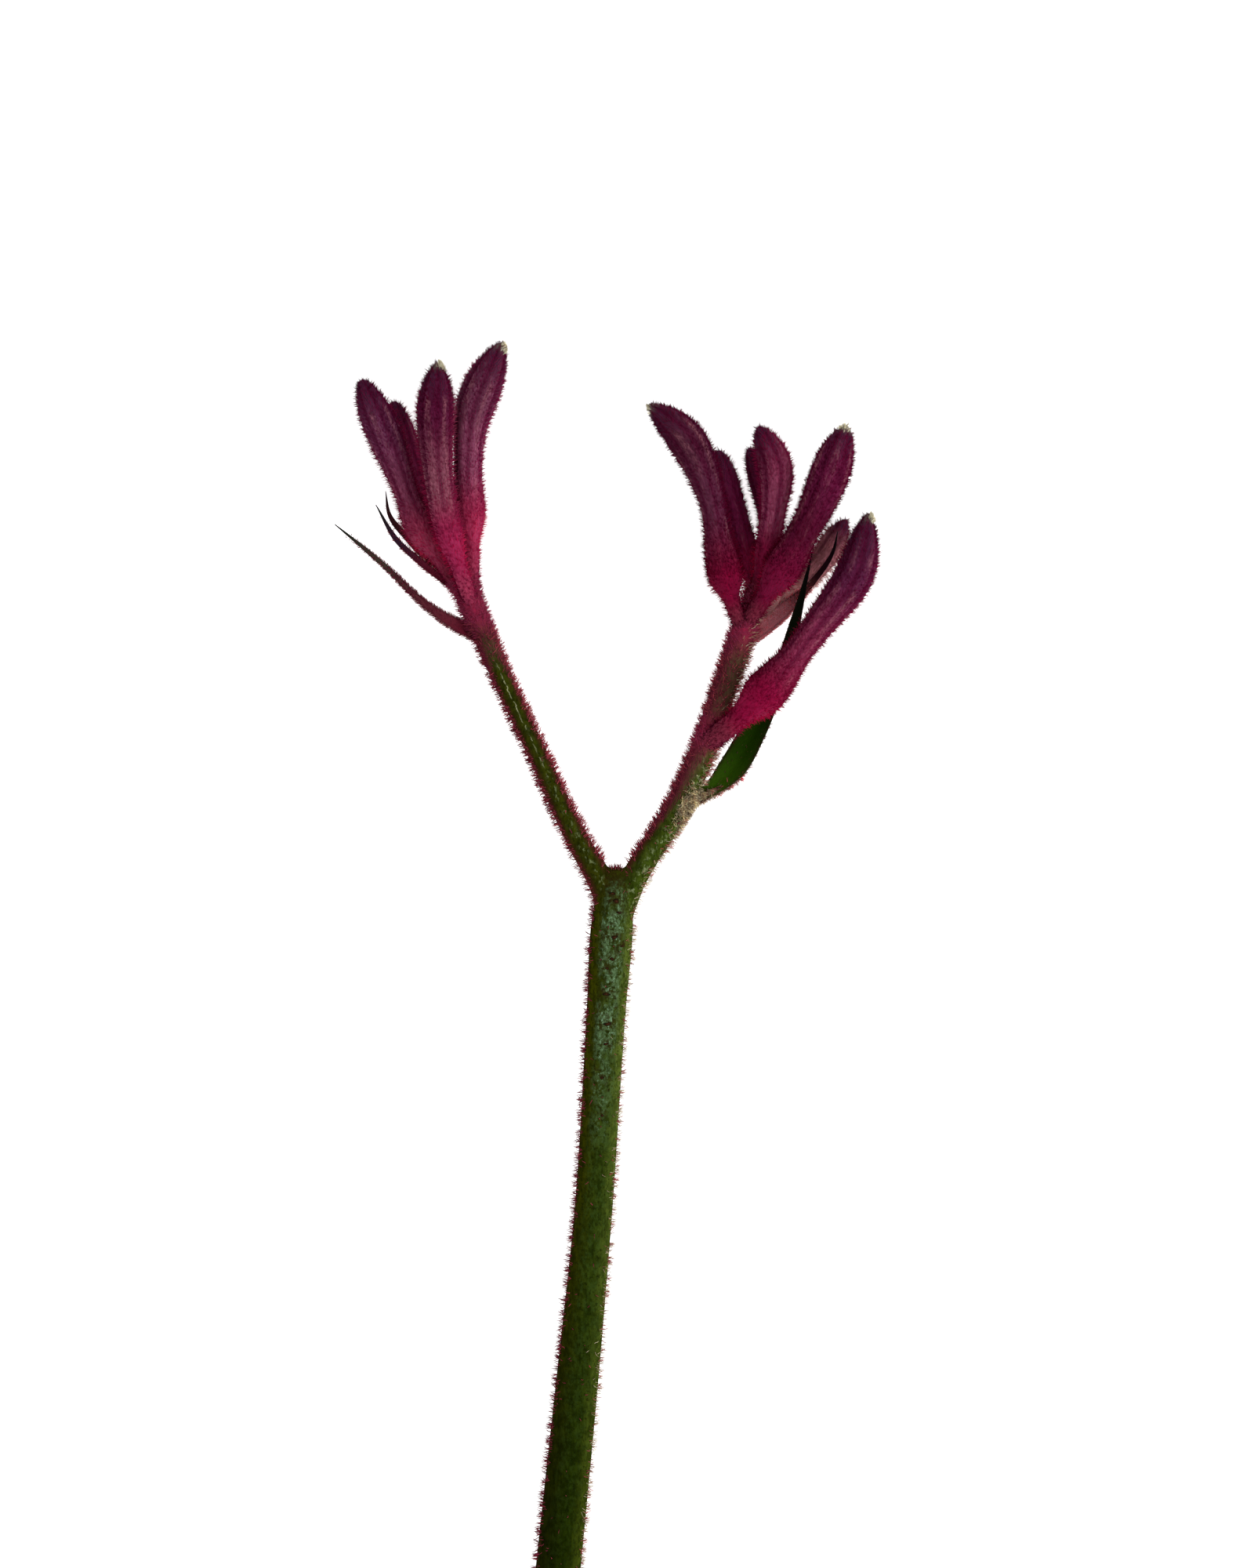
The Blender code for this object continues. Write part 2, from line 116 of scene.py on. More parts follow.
BUDS = {
    "bud_left_1": Bud(
        radii=(1, 2.3, 1.6, 2.4),
        shares=(0.21, 0.35, 0.50, 0.78),
        turn=10,
        closing=0.55,
        shaded_side=1,
        route=[
            (-18.5, 65.4, 8.2), (-21.8, 69.6, 7.8), (-25.7, 75.9, 7.4),
            (-29.9, 86.5, 7.2), (-34.1, 96.6, 7.8),
        ],
        ovary=(106, 36, 57),
        tube=(87, 39, 58),
        limb=(74, 35, 57),
    ),
    "bud_left_2": Bud(
        radii=(0.9, 1.75, 1.55, 1.85),
        shares=(0.19, 0.36, 0.52, 0.78),
        closing=0.5,
        route=[
            (-17.9, 64.1, 8.1), (-20.0, 68.0, 5.6), (-24.3, 76.4, 2.7),
            (-28.3, 88.7, 1.5), (-29.8, 94.0, 2.0),
        ],
        ovary=(110, 26, 52),
        tube=(96, 32, 60),
        limb=(88, 26, 56),
    ),
    "bud_left_3": Bud(
        radii=(1, 1.85, 1.9, 2.5),
        shares=(0.17, 0.33, 0.50, 0.80),
        turn=22,
        route=[
            (-18.5, 65.0, 8.4), (-19.5, 67.8, 10.8), (-21.9, 75.5, 11.7),
            (-23.5, 87.0, 11.3), (-23.3, 98.8, 11.4),
        ],
        foot=ROSY_FOOT,
        ovary=(108, 24, 54),
        tube=(98, 54, 66),
        limb=(60, 12, 37),
        tuft=10,
        tuft_size=170,
    ),
    "bud_left_4": Bud(
        radii=(1, 2.0, 1.85, 2.65),
        shares=(0.19, 0.32, 0.50, 0.79),
        turn=30,
        route=[
            (-18.7, 66.1, 8.2), (-18.6, 72.9, 7.8), (-19.1, 83.4, 7.6),
            (-18.7, 90.4, 7.8), (-14.4, 101.8, 8.3),
        ],
        foot=ROSY_FOOT,
        ovary=(114, 32, 58),
        tube=(100, 51, 71),
        limb=(76, 39, 56),
        tuft_size=190,
    ),
    "bud_right_1": Bud(
        radii=(1, 2.4, 1.65, 2.6),
        shares=(0.13, 0.24, 0.50, 0.77),
        turn=15,
        shaded_side=1,
        route=[
            (19.6, 61.2, 9.0), (17.8, 65.7, 10.8), (16.5, 71.4, 11.2),
            (14.6, 81.1, 11.0), (11.7, 87.9, 10.7), (6.3, 93.0, 10.4),
        ],
        ovary=(78, 2, 29),
        tube=(64, 27, 44),
        limb=(58, 24, 39),
        tuft=180,
        tuft_size=60,
    ),
    "bud_right_2": Bud(
        radii=(0.8, 1.5, 1.5, 1.65),
        shares=(0.14, 0.33, 0.50, 0.78),
        closing=0.5,
        route=[(20.5, 64.6, 8.8), (20.9, 68.4, 6.2), (19.3, 75.3, 4.4), (16.0, 86.9, 4.3)],
        ovary=(96, 14, 46),
        tube=(80, 16, 46),
        limb=(70, 14, 42),
    ),
    "bud_right_3": Bud(
        radii=(0.7, 1.2, 1.2, 1.3),
        shares=(0.16, 0.34, 0.50, 0.78),
        turn=20,
        closing=0.5,
        route=[(21.0, 67.1, 8.6), (23.3, 70.2, 6.3), (23.3, 75.8, 4.4), (20.5, 87.3, 4.2)],
        ovary=(92, 12, 42),
        tube=(74, 12, 42),
        limb=(68, 12, 40),
    ),
    "bud_right_4": Bud(
        radii=(0.8, 1.55, 1.65, 2.4),
        shares=(0.13, 0.30, 0.48, 0.74),
        turn=12,
        closing=0.62,
        route=[
            (20.7, 65.4, 8.8), (22.2, 70.4, 9.5), (23.8, 78.9, 8.8),
            (24.0, 84.1, 8.8), (21.7, 90.0, 9.0),
        ],
        ovary=(88, 12, 40),
        tube=(104, 46, 68),
        limb=(90, 36, 56),
    ),
    "bud_right_5": Bud(
        radii=(1.1, 2.5, 2.1, 2.75),
        shares=(0.15, 0.32, 0.50, 0.78),
        route=[
            (19.8, 62.2, 9.0), (22.8, 66.7, 12.0), (25.2, 70.5, 12.8),
            (30.3, 80.1, 12.4), (33.9, 89.9, 12.0),
        ],
        ovary=(74, 5, 32),
        tube=(57, 8, 28),
        limb=(70, 15, 42),
        tuft=120,
        tuft_size=70,
    ),
    "bud_right_6": Bud(
        radii=(0.8, 1.55, 1.65, 1.8),
        shares=(0.20, 0.40, 0.55, 0.80),
        turn=8,
        route=[(20.0, 63.0, 8.9), (25.3, 66.2, 4.8), (30.9, 71.8, 1.7), (34.3, 77.3, 1.55)],
        ovary=(158, 118, 116),
        tube=(132, 86, 90),
        limb=(104, 62, 68),
        pale=True,
    ),
    "bud_right_7": Bud(
        radii=(1.4, 2.85, 1.85, 2.6),
        shares=(0.16, 0.29, 0.47, 0.78),
        turn=25,
        route=[
            (13.9, 45.2, 8.6), (18.3, 48.7, 11.5), (22.1, 52.3, 12.2),
            (29.7, 61.8, 11.8), (35.0, 69.1, 11.5), (37.0, 77.7, 11.2),
        ],
        ovary=(92, 4, 36),
        tube=(92, 31, 53),
        limb=(62, 20, 44),
        tuft=20,
        tuft_size=170,
    ),
}

# The skin of a bud: its grid, and its furrows and grooves as shares of its radius.
SKIN_OUTSET = 0.05  # how far it lies outside the solid
SKIN_SIDES = 48
SKIN_RINGS = 64
SKIN_START = 0.02
TIP_RINGS = 12
TIP_SHARE = 0.1
TIP_BLUNTNESS = 1.9
LOBES = 6
FURROW_OVARY = 0.03
FURROW_LIMB = 0.11
FURROW_SHARPNESS = 1.4
GROOVE_DEPTH = 0.055
GROOVE_SHARPNESS = 9
UNEVENNESS = 0.012
SLOPE_STEP = 0.004
SKIN_SAMPLES = 200


class Bract(NamedTuple):
    """A folded leaf blade: x, y, z and half width along its route, and colours at shares of its length."""

    roll: float
    route: list
    colours: dict
    hairs: int
    hairy_to: float = 0.9  # the share of its length where the hairs end


BRACTS = {
    "bract_left_1": Bract(
        roll=-35,
        route=[
            (-17.6, 61.0, 8.2, 1.55), (-20.5, 62.1, 8.7, 1.1), (-24.5, 64.6, 9.1, 0.65),
            (-30.6, 70.3, 8.3, 0.42), (-37.9, 76.4, 6.0, 0.3),
        ],
        colours={0.0: (124, 30, 56), 0.3: (106, 46, 58), 0.65: (72, 60, 54), 1.0: (28, 38, 30)},
        hairs=1500,
    ),
    "bract_left_2": Bract(
        roll=-25,
        route=[
            (-18.1, 64.5, 8.0, 0.5), (-20.8, 67.0, 7.5, 0.45), (-25.7, 71.0, 8.0, 0.5),
            (-29.1, 74.1, 8.8, 0.4), (-32.0, 79.0, 9.2, 0.3),
        ],
        colours={0.0: (150, 32, 60), 0.35: (118, 32, 58), 0.7: (52, 28, 46), 1.0: (22, 30, 28)},
        hairs=380,
    ),
    "bract_left_3": Bract(
        roll=-20,
        route=[
            (-18.2, 64.8, 7.4, 0.5), (-21.1, 67.7, 5.2, 0.42), (-27.6, 74.4, 3.0, 0.48),
            (-30.3, 77.8, 3.8, 0.38), (-30.8, 81.1, 5.2, 0.3),
        ],
        colours={0.0: (120, 36, 54), 0.3: (104, 32, 48), 0.65: (84, 38, 48), 1.0: (50, 34, 38)},
        hairs=200,
    ),
    "bract_right_1": Bract(
        roll=20,
        route=[
            (11.6, 37.2, 8.2, 0.8), (14.7, 39.0, 7.9, 1.05), (17.8, 41.95, 7.5, 1.95),
            (20.9, 47.15, 7.0, 1.9), (24.1, 53.9, 7.2, 1.2), (26.6, 61.9, 9.0, 0.8),
            (29.3, 72.9, 10.8, 0.3),
        ],
        colours={
            0.0: (86, 52, 42), 0.1: (50, 82, 8), 0.3: (30, 58, 0),
            0.55: (14, 28, 4), 1.0: (14, 10, 14),
        },
        hairs=460,
    ),
    "bract_right_2": Bract(
        roll=30,
        route=[
            (19.9, 60.4, 8.8, 1.45), (24.3, 63.6, 7.2, 1.25), (29.2, 68.2, 7.4, 0.5),
            (32.2, 72.6, 7.8, 0.35), (32.8, 75.3, 8.2, 0.3),
        ],
        colours={
            0.0: (236, 132, 148), 0.3: (212, 132, 148), 0.5: (116, 58, 64),
            0.7: (44, 16, 28), 1.0: (14, 10, 20),
        },
        hairs=1900,
        hairy_to=0.55,
    ),
}
BLADE_RINGS = 48
BLADE_POINTS = 13
BLADE_FOLD = 0.42
BLADE_THICK = 0.5
BLADE_EDGE = 0.18
BLADE_TAPER = 0.25
BLADE_WAVE = 0.05
FOLD_SHARPNESS = 1.5
MARGIN_RED = (44, 18, 20)

STEM_SIDES = 40
STEM_RINGS = 120
STEM_VOXEL = 0.38
STEM_SMOOTHING = 6
CUT_AT = -100.9
POINTS_AT_ONCE = 4000

# The greens of the stem from its left side to its right: low down, and near the fork.
LOW_GREENS = {0.0: (34, 30, 8), 0.1: (26, 30, 2), 0.6: (27, 38, 2), 1.0: (54, 64, 12)}
TOP_GREENS = {0.0: (50, 40, 12), 0.1: (50, 53, 2), 0.6: (50, 64, 14), 1.0: (76, 90, 30)}

# The greens of each branch at its left and right sides.
LEFT_BRANCH_GREENS = [(44, 42, 5), (52, 62, 8)]
RIGHT_BRANCH_GREENS = [(46, 48, 11), (62, 82, 18)]

# The skin near the heads at the left and the right, and where buds leave it; and the cut end.
WARM_RED = (108, 30, 50)
WARM_BROWN = (92, 70, 52)
JOINT_RED = (150, 38, 70)
PITH = [(104, 92, 50), (166, 172, 112)]

# What the green is multiplied by in its dark and light patches.
MOTTLING = [(0.66, 0.68, 0.7, 1), (1.34, 1.32, 1.5, 1)]

# The marks on the green, from the lowest to the uppermost. The pale band down the upper face, with its
# powders, is partly glaucous wax and partly a painted reflection of the light above.
MARKS = {
    "line": (20, 28, 14),
    "bloom_and_reflection": (50, 64, 24),
    "powder": (98, 126, 86),
    "pale powder": (132, 168, 132),
    "blotch": (48, 44, 14),
    "pit": (24, 30, 5),
    "stain": (50, 34, 14),
    "haze": (60, 82, 32),
    "right rim": (176, 172, 116),
    # a pale broken line along the top of the left branch: partly a paler rib, partly a painted highlight
    "rib_and_highlight": (172, 172, 132),
    "chaff": (134, 146, 100),
    "branch edge": (76, 36, 28),
}

# The scars of the stem: y, place across it from -1 to 1, and width.
SCARS = [
    (24.6, -0.1, 1.0),
    (23.6, 0.12, 1.2),
    (22.0, 0.3, 0.8),
    (18.6, 0.16, 1.1),
    (17.4, 0.55, 0.7),
    (15.6, 0.1, 0.9),
    (14.2, -0.1, 0.7),
    (10.6, -0.05, 1.1),
    (6.4, 0.12, 1.2),
    (3.6, 0.1, 0.9),
    (-1.2, 0.0, 0.8),
    (-6.5, 0.12, 0.7),
]
SCAR_SIDES = 14
SCAR_HEIGHT = 0.09
SCAR_FALL = 0.22
SCAR_TOP = 0.08
SCAR_ROOT = 0.25
SCAR_RINGS = np.array([0.15, 0.45, 0.75, 1.0])
SCAR_COLOURS = {0.0: (74, 40, 18), 0.4: (50, 26, 12), 0.7: (22, 18, 8), 1.0: (46, 54, 24)}


class Hairs(NamedTuple):
    """A kind of hair: the least and most of its length, width and lean, and how many to a square mm."""

    lengths: tuple
    widths: tuple
    leans: tuple = (0, 0)
    per_mm2: float = 0
    stray: float = 0.25  # how far each strays from the way that it leans
    curl: float = 0


# Felt lies along the skin, and spikes stand out of it. The other kinds have their own number and lean.
FELT = Hairs(lengths=(0.4, 0.75), widths=(0.07, 0.12), leans=(1.3, 2.8), per_mm2=22.0)
SPIKES = Hairs(lengths=(0.65, 1.15), widths=(0.11, 0.18), leans=(0.05, 0.8), per_mm2=8.5)
TUFT = Hairs(lengths=(0.4, 0.8), widths=(0.09, 0.15), stray=0.35, curl=0.5)
FRINGE = Hairs(lengths=(0.35, 0.7), widths=(0.09, 0.14), curl=0.2)
WOOL = Hairs(lengths=(0.6, 1.3), widths=(0.08, 0.13), stray=0.6, curl=1.2)
FORK = Hairs(lengths=(0.3, 1.05), widths=(0.11, 0.17))
SPIKES_LESS_ON_TOP = 0.45
TUFT_FROM = 0.965
FORK_HAIRS = 170
BRANCH_FELT_PER_MM2 = 17
WOOL_AT = 37.4  # the y where the wool of the right branch is thickest
WOOL_REACH = 2.4  # how far from there it takes the place of the branch's hairs
WOOL_ON_BRANCH = 1300
WOOL_ON_BRACT = 1000


class StemHairs(NamedTuple):
    """The hairs of the stem or a branch. Their tint is a place in STEM_TINTS, and right_tint is what the
    right side adds to it. The upper face is thinly haired up to edge, as a share of the way across."""

    name: str
    per_mm2: float
    lengths: tuple
    widths: tuple
    lean: float
    tint: float
    right_tint: float
    pale_share: float
    light: float
    edge: float


STEM_HAIRS = [
    StemHairs(
        name="stem_hairs",
        per_mm2=4.2,
        lengths=(0.65, 1.2),
        widths=(0.12, 0.18),
        lean=0.0,
        tint=0.33,
        right_tint=0.15,
        pale_share=0.85,
        light=0.36,
        edge=0.72,
    ),
    StemHairs(
        name="branch_left_hairs",
        per_mm2=13,
        lengths=(0.75, 1.3),
        widths=(0.11, 0.17),
        lean=0.25,
        tint=0.36,
        right_tint=0.11,
        pale_share=0.0,
        light=0.37,
        edge=0.5,
    ),
    StemHairs(
        name="branch_right_hairs",
        per_mm2=13,
        lengths=(0.75, 1.25),
        widths=(0.11, 0.17),
        lean=0.3,
        tint=0.38,
        right_tint=0.2,
        pale_share=0.4,
        light=0.41,
        edge=0.5,
    ),
]
STEM_STRAY = 0.2
STEM_CURL = 0.25
HAIRS_PER_TUFT = 4
TUFT_REACH = 0.28
BURIED_WITHIN = 0.97

# The y where each branch reaches its head, and where the lowest bud leaves the right branch.
LEFT_HEAD_AT = 60
RIGHT_HEAD_AT = 57
LOW_BUD_AT = 47
STEM_TINTS = {
    0.0: (112, 36, 62),
    0.15: (142, 52, 82),
    0.3: (112, 44, 56),
    0.55: (172, 80, 92),
    0.75: (140, 118, 96),
    1.0: (186, 182, 156),
}
TUFT_TINTS = {0.0: (142, 136, 116), 1.0: (206, 202, 184)}

# What a hair's colour is multiplied by as it gets lighter: on the buds from deep crimson to greyish mauve;
# the painted light and shade of the felt move hairs along it.
FELT_SHADES = {
    0.06: (0.7, 0.04, 0.5),
    0.34: (1.95, 0.6, 1.45),
    0.56: (2.1, 2.1, 2.1),
    0.8: (2.6, 3.4, 3.1),
    1.0: (3.2, 4.6, 4.2),
}
PLAIN_SHADES = {0.05: (0.6, 0.5, 0.55), 0.5: (1.1, 1.1, 1.1), 1.0: (1.9, 1.9, 1.9)}

# What the skin's colour is multiplied by along its grain.
FELT_GRAIN = {0.3: (0.7, 0.65, 0.7), 0.7: (1.25, 1.2, 1.2)}
STEM_GRAIN = {0.3: (0.7, 0.7, 0.65), 0.7: (1.3, 1.3, 1.3)}
BLADE_GRAIN = {0.3: (0.7, 0.7, 0.65), 0.7: (1.3, 1.3, 1.2)}

HAIR_SIDES = 3
HAIR_MIDDLE = 0.55
HAIR_NARROWING = 0.28
HAIR_UV_WIDTH = 0.004
HAIR_UV_LOWEST = 0.11
HAIR_UV_HEIGHT = 0.74
LIGHTER_TO_TIP = 0.1
HAIR_UV = "OFBake"
HAIR_ROUNDNESS = 0.5
HAIR_CLEARNESS = 0.55  # the share of a hair's shading that is light through it
ROOT_DEPTH = 0.08
SCATTER_STEPS = (0.7548776662, 0.5698402910)  # these spread points evenly over a square

BUD_SEEDS = 11
STEM_SEEDS = 41
BRANCH_FELT_SEEDS = 44
WOOL_SEED = 47
FORK_SEED = 53
SCAR_SEED = 61
BRACT_SEEDS = 71

CAMERA_SPOT = (3.212, 39.884, 750.0)
SEEN_HEIGHT = 220.0
SEEN_AT = 8.0
SENSOR = 36.0
SEEN_TO = 20  # in metres

FLOOR_SIZE = 4000.0
FLOOR_GLOW = 0.75
WORLD_LIGHT = 0.75
# The lamp, in metres and watts.
KEY_SPOT = (0.75, -0.1, 0.75)
KEY_AIM = (0.0, 0.03, 0.0)
KEY_SIZE = 0.5
KEY_POWER = 4.0


def tone(colour, light):
    """A linear surface colour for the 0 to 255 colour that it should show under this light."""
    part = np.array(colour, float) / 255
    linear = np.where(part <= 0.04045, part / 12.92, ((part + 0.055) / 1.055) ** 2.4)
    return (*(linear / light).tolist(), 1.0)


def bare(colour):
    """The same for a surface that no hair shades."""
    return tone(colour, LIGHT_ON_SKIN)


def mixed(first, second, share):
    return tuple(a + (b - a) * share for a, b in zip(first, second, strict=True))


def smooth_route(points, steps=400):
    """Many points on a smooth curve through the given ones, and how far along it each lies."""
    points = np.array(points, float)
    chord = np.linalg.norm(np.diff(points[:, :3], axis=0), axis=1)
    knots = np.concatenate([[0], np.cumsum(chord)])
    slopes = np.gradient(points, knots, axis=0)
    where = np.linspace(0, knots[-1], steps)
    i = np.clip(np.searchsorted(knots, where, side="right") - 1, 0, len(chord) - 1)
    span = chord[i][:, None]
    t = (where - knots[i])[:, None] / span
    start = (1 + 2 * t) * (1 - t) ** 2 * points[i] + t * (1 - t) ** 2 * span * slopes[i]
    end = t**2 * (3 - 2 * t) * points[i + 1] + t**2 * (t - 1) * span * slopes[i + 1]
    curve = start + end
    pieces = np.linalg.norm(np.diff(curve[:, :3], axis=0), axis=1)
    return curve, np.concatenate([[0], np.cumsum(pieces)])


def unit(vectors):
    return vectors / np.maximum(np.linalg.norm(vectors, axis=-1, keepdims=True), 1e-9)


class Line:
    """A smooth route with the directions across it: side stays level and up points up."""

    def __init__(self, route):
        self.curve, self.along = smooth_route(route)
        self.length = self.along[-1]
        forward = unit(np.gradient(self.curve[:, :3], axis=0))
        side = unit(np.cross(forward, (0, 0, 1)))
        self.columns = np.hstack([self.curve, side, np.cross(side, forward), forward])

    def at(self, shares):
        """The curve's columns, side, up and forward at these shares of the length."""
        where = np.asarray(shares) * self.length
        found = np.stack([np.interp(where, self.along, column) for column in self.columns.T], -1)
        width = self.curve.shape[1]
        side, up, forward = (unit(found[..., width + 3 * i : width + 3 * i + 3]) for i in range(3))
        return found[..., :width], side, up, forward


def ease(share):
    return share * share * (3 - 2 * share)


def past(value, start, span):
    """0 up to start, and rising to 1 over this span past it."""
    return np.clip((value - start) / span, 0, 1)


def bell(value, middle, width, power=2):
    """1 in the middle, and falling towards 0 from about this width away."""
    return np.exp(-(((value - middle) / width) ** power))


def profile(t, bud):
    """The bud's radius before its tip closes, and the closing factor, at each share of its length."""
    found = np.full(np.shape(t), float(bud.radii[0]))
    for start, end, low, high in zip(bud.shares, bud.shares[1:], bud.radii, bud.radii[1:]):
        part = past(t, start, end - start)
        found = np.where(t >= start, low + (high - low) * ease(part), found)
    widest = bud.shares[-1]
    closing = past(t, widest, 1 - widest)
    return found, (1 - closing**TIP_BLUNTNESS) ** bud.closing


def furrow_at(angle):
    return 0.5 + 0.5 * np.cos(LOBES * angle)


class BudSkin:
    """The skin of a bud as a surface over the share of its length and the angle round it."""

    def __init__(self, bud, seed):
        self.bud = bud
        self.line = Line(bud.route)
        self.phases = np.random.default_rng(seed).uniform(0, 2 * np.pi, 6)

    def radius(self, share, angle):
        full, closing = profile(share, self.bud)
        stalk, ovary, _, limb = self.bud.shares
        depth = np.interp(share, (stalk, ovary, limb), (0, FURROW_OVARY, FURROW_LIMB))
        groove = np.interp(share, (ovary, limb, 1.0), (0, GROOVE_DEPTH, GROOVE_DEPTH))
        furrow = furrow_at(angle)
        lobed = 1 - depth * furrow**FURROW_SHARPNESS - groove * furrow**GROOVE_SHARPNESS
        p = self.phases
        uneven = np.sin(angle + 9 * share + p[0]) + np.sin(2 * angle - 17 * share + p[1])
        uneven += 0.7 * np.sin(3 * angle + 31 * share + p[2])
        return (full + SKIN_OUTSET) * closing * lobed * (1 + UNEVENNESS * uneven)

    def at(self, share, angle):
        """Point, outward direction and forward direction at each share and angle."""
        share = np.asarray(share, float)
        centre, side, up, forward = self.line.at(share)
        turned = angle + np.radians(self.bud.turn)
        across = np.cos(turned)[..., None] * side + np.sin(turned)[..., None] * up
        radius = self.radius(share, angle)
        ahead = self.radius(np.minimum(share + SLOPE_STEP, 1), angle)
        behind = self.radius(np.maximum(share - SLOPE_STEP, 0), angle)
        slope = (ahead - behind) / (2 * SLOPE_STEP * self.line.length)
        out = unit(across - forward * np.clip(slope, -3, 3)[..., None])
        return centre + across * radius[..., None], out, forward


def add_floats(mesh, **values):
    for name, numbers in values.items():
        layer = mesh.attributes.new(name, "FLOAT", "POINT")
        layer.data.foreach_set("value", np.asarray(numbers, np.float32).ravel())


def add_vector(mesh, name, vectors):
    """A vector for each point of a grid mesh, and the first and last again for the centres of its ends."""
    flat = vectors.reshape(-1, 3)
    layer = mesh.attributes.new(name, "FLOAT_VECTOR", "POINT")
    layer.data.foreach_set("vector", np.vstack([flat, flat[:1], flat[-1:]]).astype(np.float32).ravel())


def link(mesh, material):
    obj = bpy.data.objects.new(mesh.name, mesh)
    mesh.materials.append(material)
    bpy.context.scene.collection.objects.link(obj)
    return obj


def add_piece(mesh, material, node=None):
    """A piece of the plant, which stands for a CAD node where one is named."""
    piece = link(mesh, material)
    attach(piece, "root")
    if node:
        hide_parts(node)


def above_floor(points):
    points[..., 2] = np.maximum(points[..., 2], LOWEST)
    return points


def grid_mesh(name, grid, start, end):
    """A closed mesh over a grid of points, rings by sides, with a fan to the point at each end."""
    rings, sides = grid.shape[:2]
    points = np.vstack([grid.reshape(-1, 3), start, end])
    faces = []
    for k in range(sides):
        following = (k + 1) % sides
        faces.append((following, k, rings * sides))
        last = (rings - 1) * sides
        faces.append((last + k, last + following, rings * sides + 1))
        for i in range(rings - 1):
            low = i * sides
            high = low + sides
            faces.append((low + k, low + following, high + following, high + k))
    mesh = bpy.data.meshes.new(name)
    mesh.from_pydata((points * MM).tolist(), [], faces)
    mesh.validate()
    mesh.shade_smooth()
    return mesh


class Nodes:
    """A small helper that adds shader nodes to a new material."""

    def __init__(self, name):
        self.material = bpy.data.materials.new(name)
        self.material.use_nodes = True
        self.tree = self.material.node_tree
        self.shader = self.tree.nodes["Principled BSDF"]
        self.output = self.tree.nodes["Material Output"]

    def put(self, socket, value):
        if isinstance(value, bpy.types.NodeSocket):
            self.tree.links.new(value, socket)
        else:
            socket.default_value = value

    def node(self, kind, *values, **named):
        """A new node, with these values and outputs at its first sockets and at its named ones."""
        node = self.tree.nodes.new("ShaderNode" + kind)
        for socket, value in zip(node.inputs, values):
            self.put(socket, value)
        for name, value in named.items():
            self.put(node.inputs[name], value)
        return node

    def attribute(self, name, output="Fac"):
        node = self.node("Attribute")
        node.attribute_name = name
        return node.outputs[output]

    def position(self):
        return self.node("TexCoord").outputs["Object"]

    def stretch(self, vector, scale):
        return self.node("Mapping", Vector=vector, Scale=scale).outputs[0]

    def noise(self, vector, scale, detail=3.0, roughness=0.55):
        node = self.node("TexNoise", Vector=vector, Scale=scale, Detail=detail, Roughness=roughness)
        return node.outputs["Fac"]

    def grain(self, stretched, scale, detail=3.0, roughness=0.55):
        """Noise in the piece's own space, drawn out along the axes whose factor is under 1."""
        return self.noise(self.stretch(self.position(), stretched), scale, detail, roughness)

    def cells(self, vector, scale):
        return self.node("TexVoronoi", Vector=vector, Scale=scale).outputs["Distance"]

    def maths(self, operation, *values):
        node = self.node("Math", *values)
        node.operation = operation
        return node.outputs[0]

    def product(self, first, *others):
        for other in others:
            first = self.maths("MULTIPLY", first, other)
        return first

    def spread(self, value, low, high, to_low=0.0, to_high=1.0):
        node = self.node("MapRange", value, low, high, to_low, to_high)
        node.interpolation_type = "SMOOTHSTEP"
        return node.outputs[0]

    def ramp(self, share, stops, light=None, smooth=True):
        """Colours that show as the stops do under this light or, with no light, the stops as factors."""
        node = self.node("ValToRGB", share)
        node.color_ramp.interpolation = "EASE" if smooth else "LINEAR"
        elements = node.color_ramp.elements
        while len(elements) < len(stops):
            elements.new(0.5)
        for element, (place, colour) in zip(elements, stops.items(), strict=True):
            element.position = place
            element.color = tone(colour, light) if light else (*colour, 1.0)
        return node.outputs["Color"]

    def mix(self, share, first, second, blend="MIX"):
        node = self.node("Mix")
        node.data_type = "RGBA"
        node.blend_type = blend
        node.clamp_factor = True
        for place, value in ((0, share), (6, first), (7, second)):
            self.put(node.inputs[place], value)
        return node.outputs[2]

    def multiply(self, colour, share, stops):
        """The colour times the factors that the stops give for this share."""
        return self.mix(1.0, colour, self.ramp(share, stops, smooth=False), "MULTIPLY")

    def layers(self, colour, light, *marks):
        """The colour with marks laid over it in turn, each a strength and the colour that it shows."""
        for strength, seen in marks:
            colour = self.mix(strength, colour, tone(seen, light))
        return colour

    def bump(self, height, strength, distance):
        node = self.node("Bump", Strength=strength, Distance=distance * MM, Height=height)
        self.put(self.shader.inputs["Normal"], node.outputs[0])

    def finish(self, colour, roughness, **constants):
        self.put(self.shader.inputs["Base Color"], colour)
        self.put(self.shader.inputs["Roughness"], roughness)
        for name, value in constants.items():
            self.shader.inputs[name.replace("_", " ")].default_value = value
        return self.material


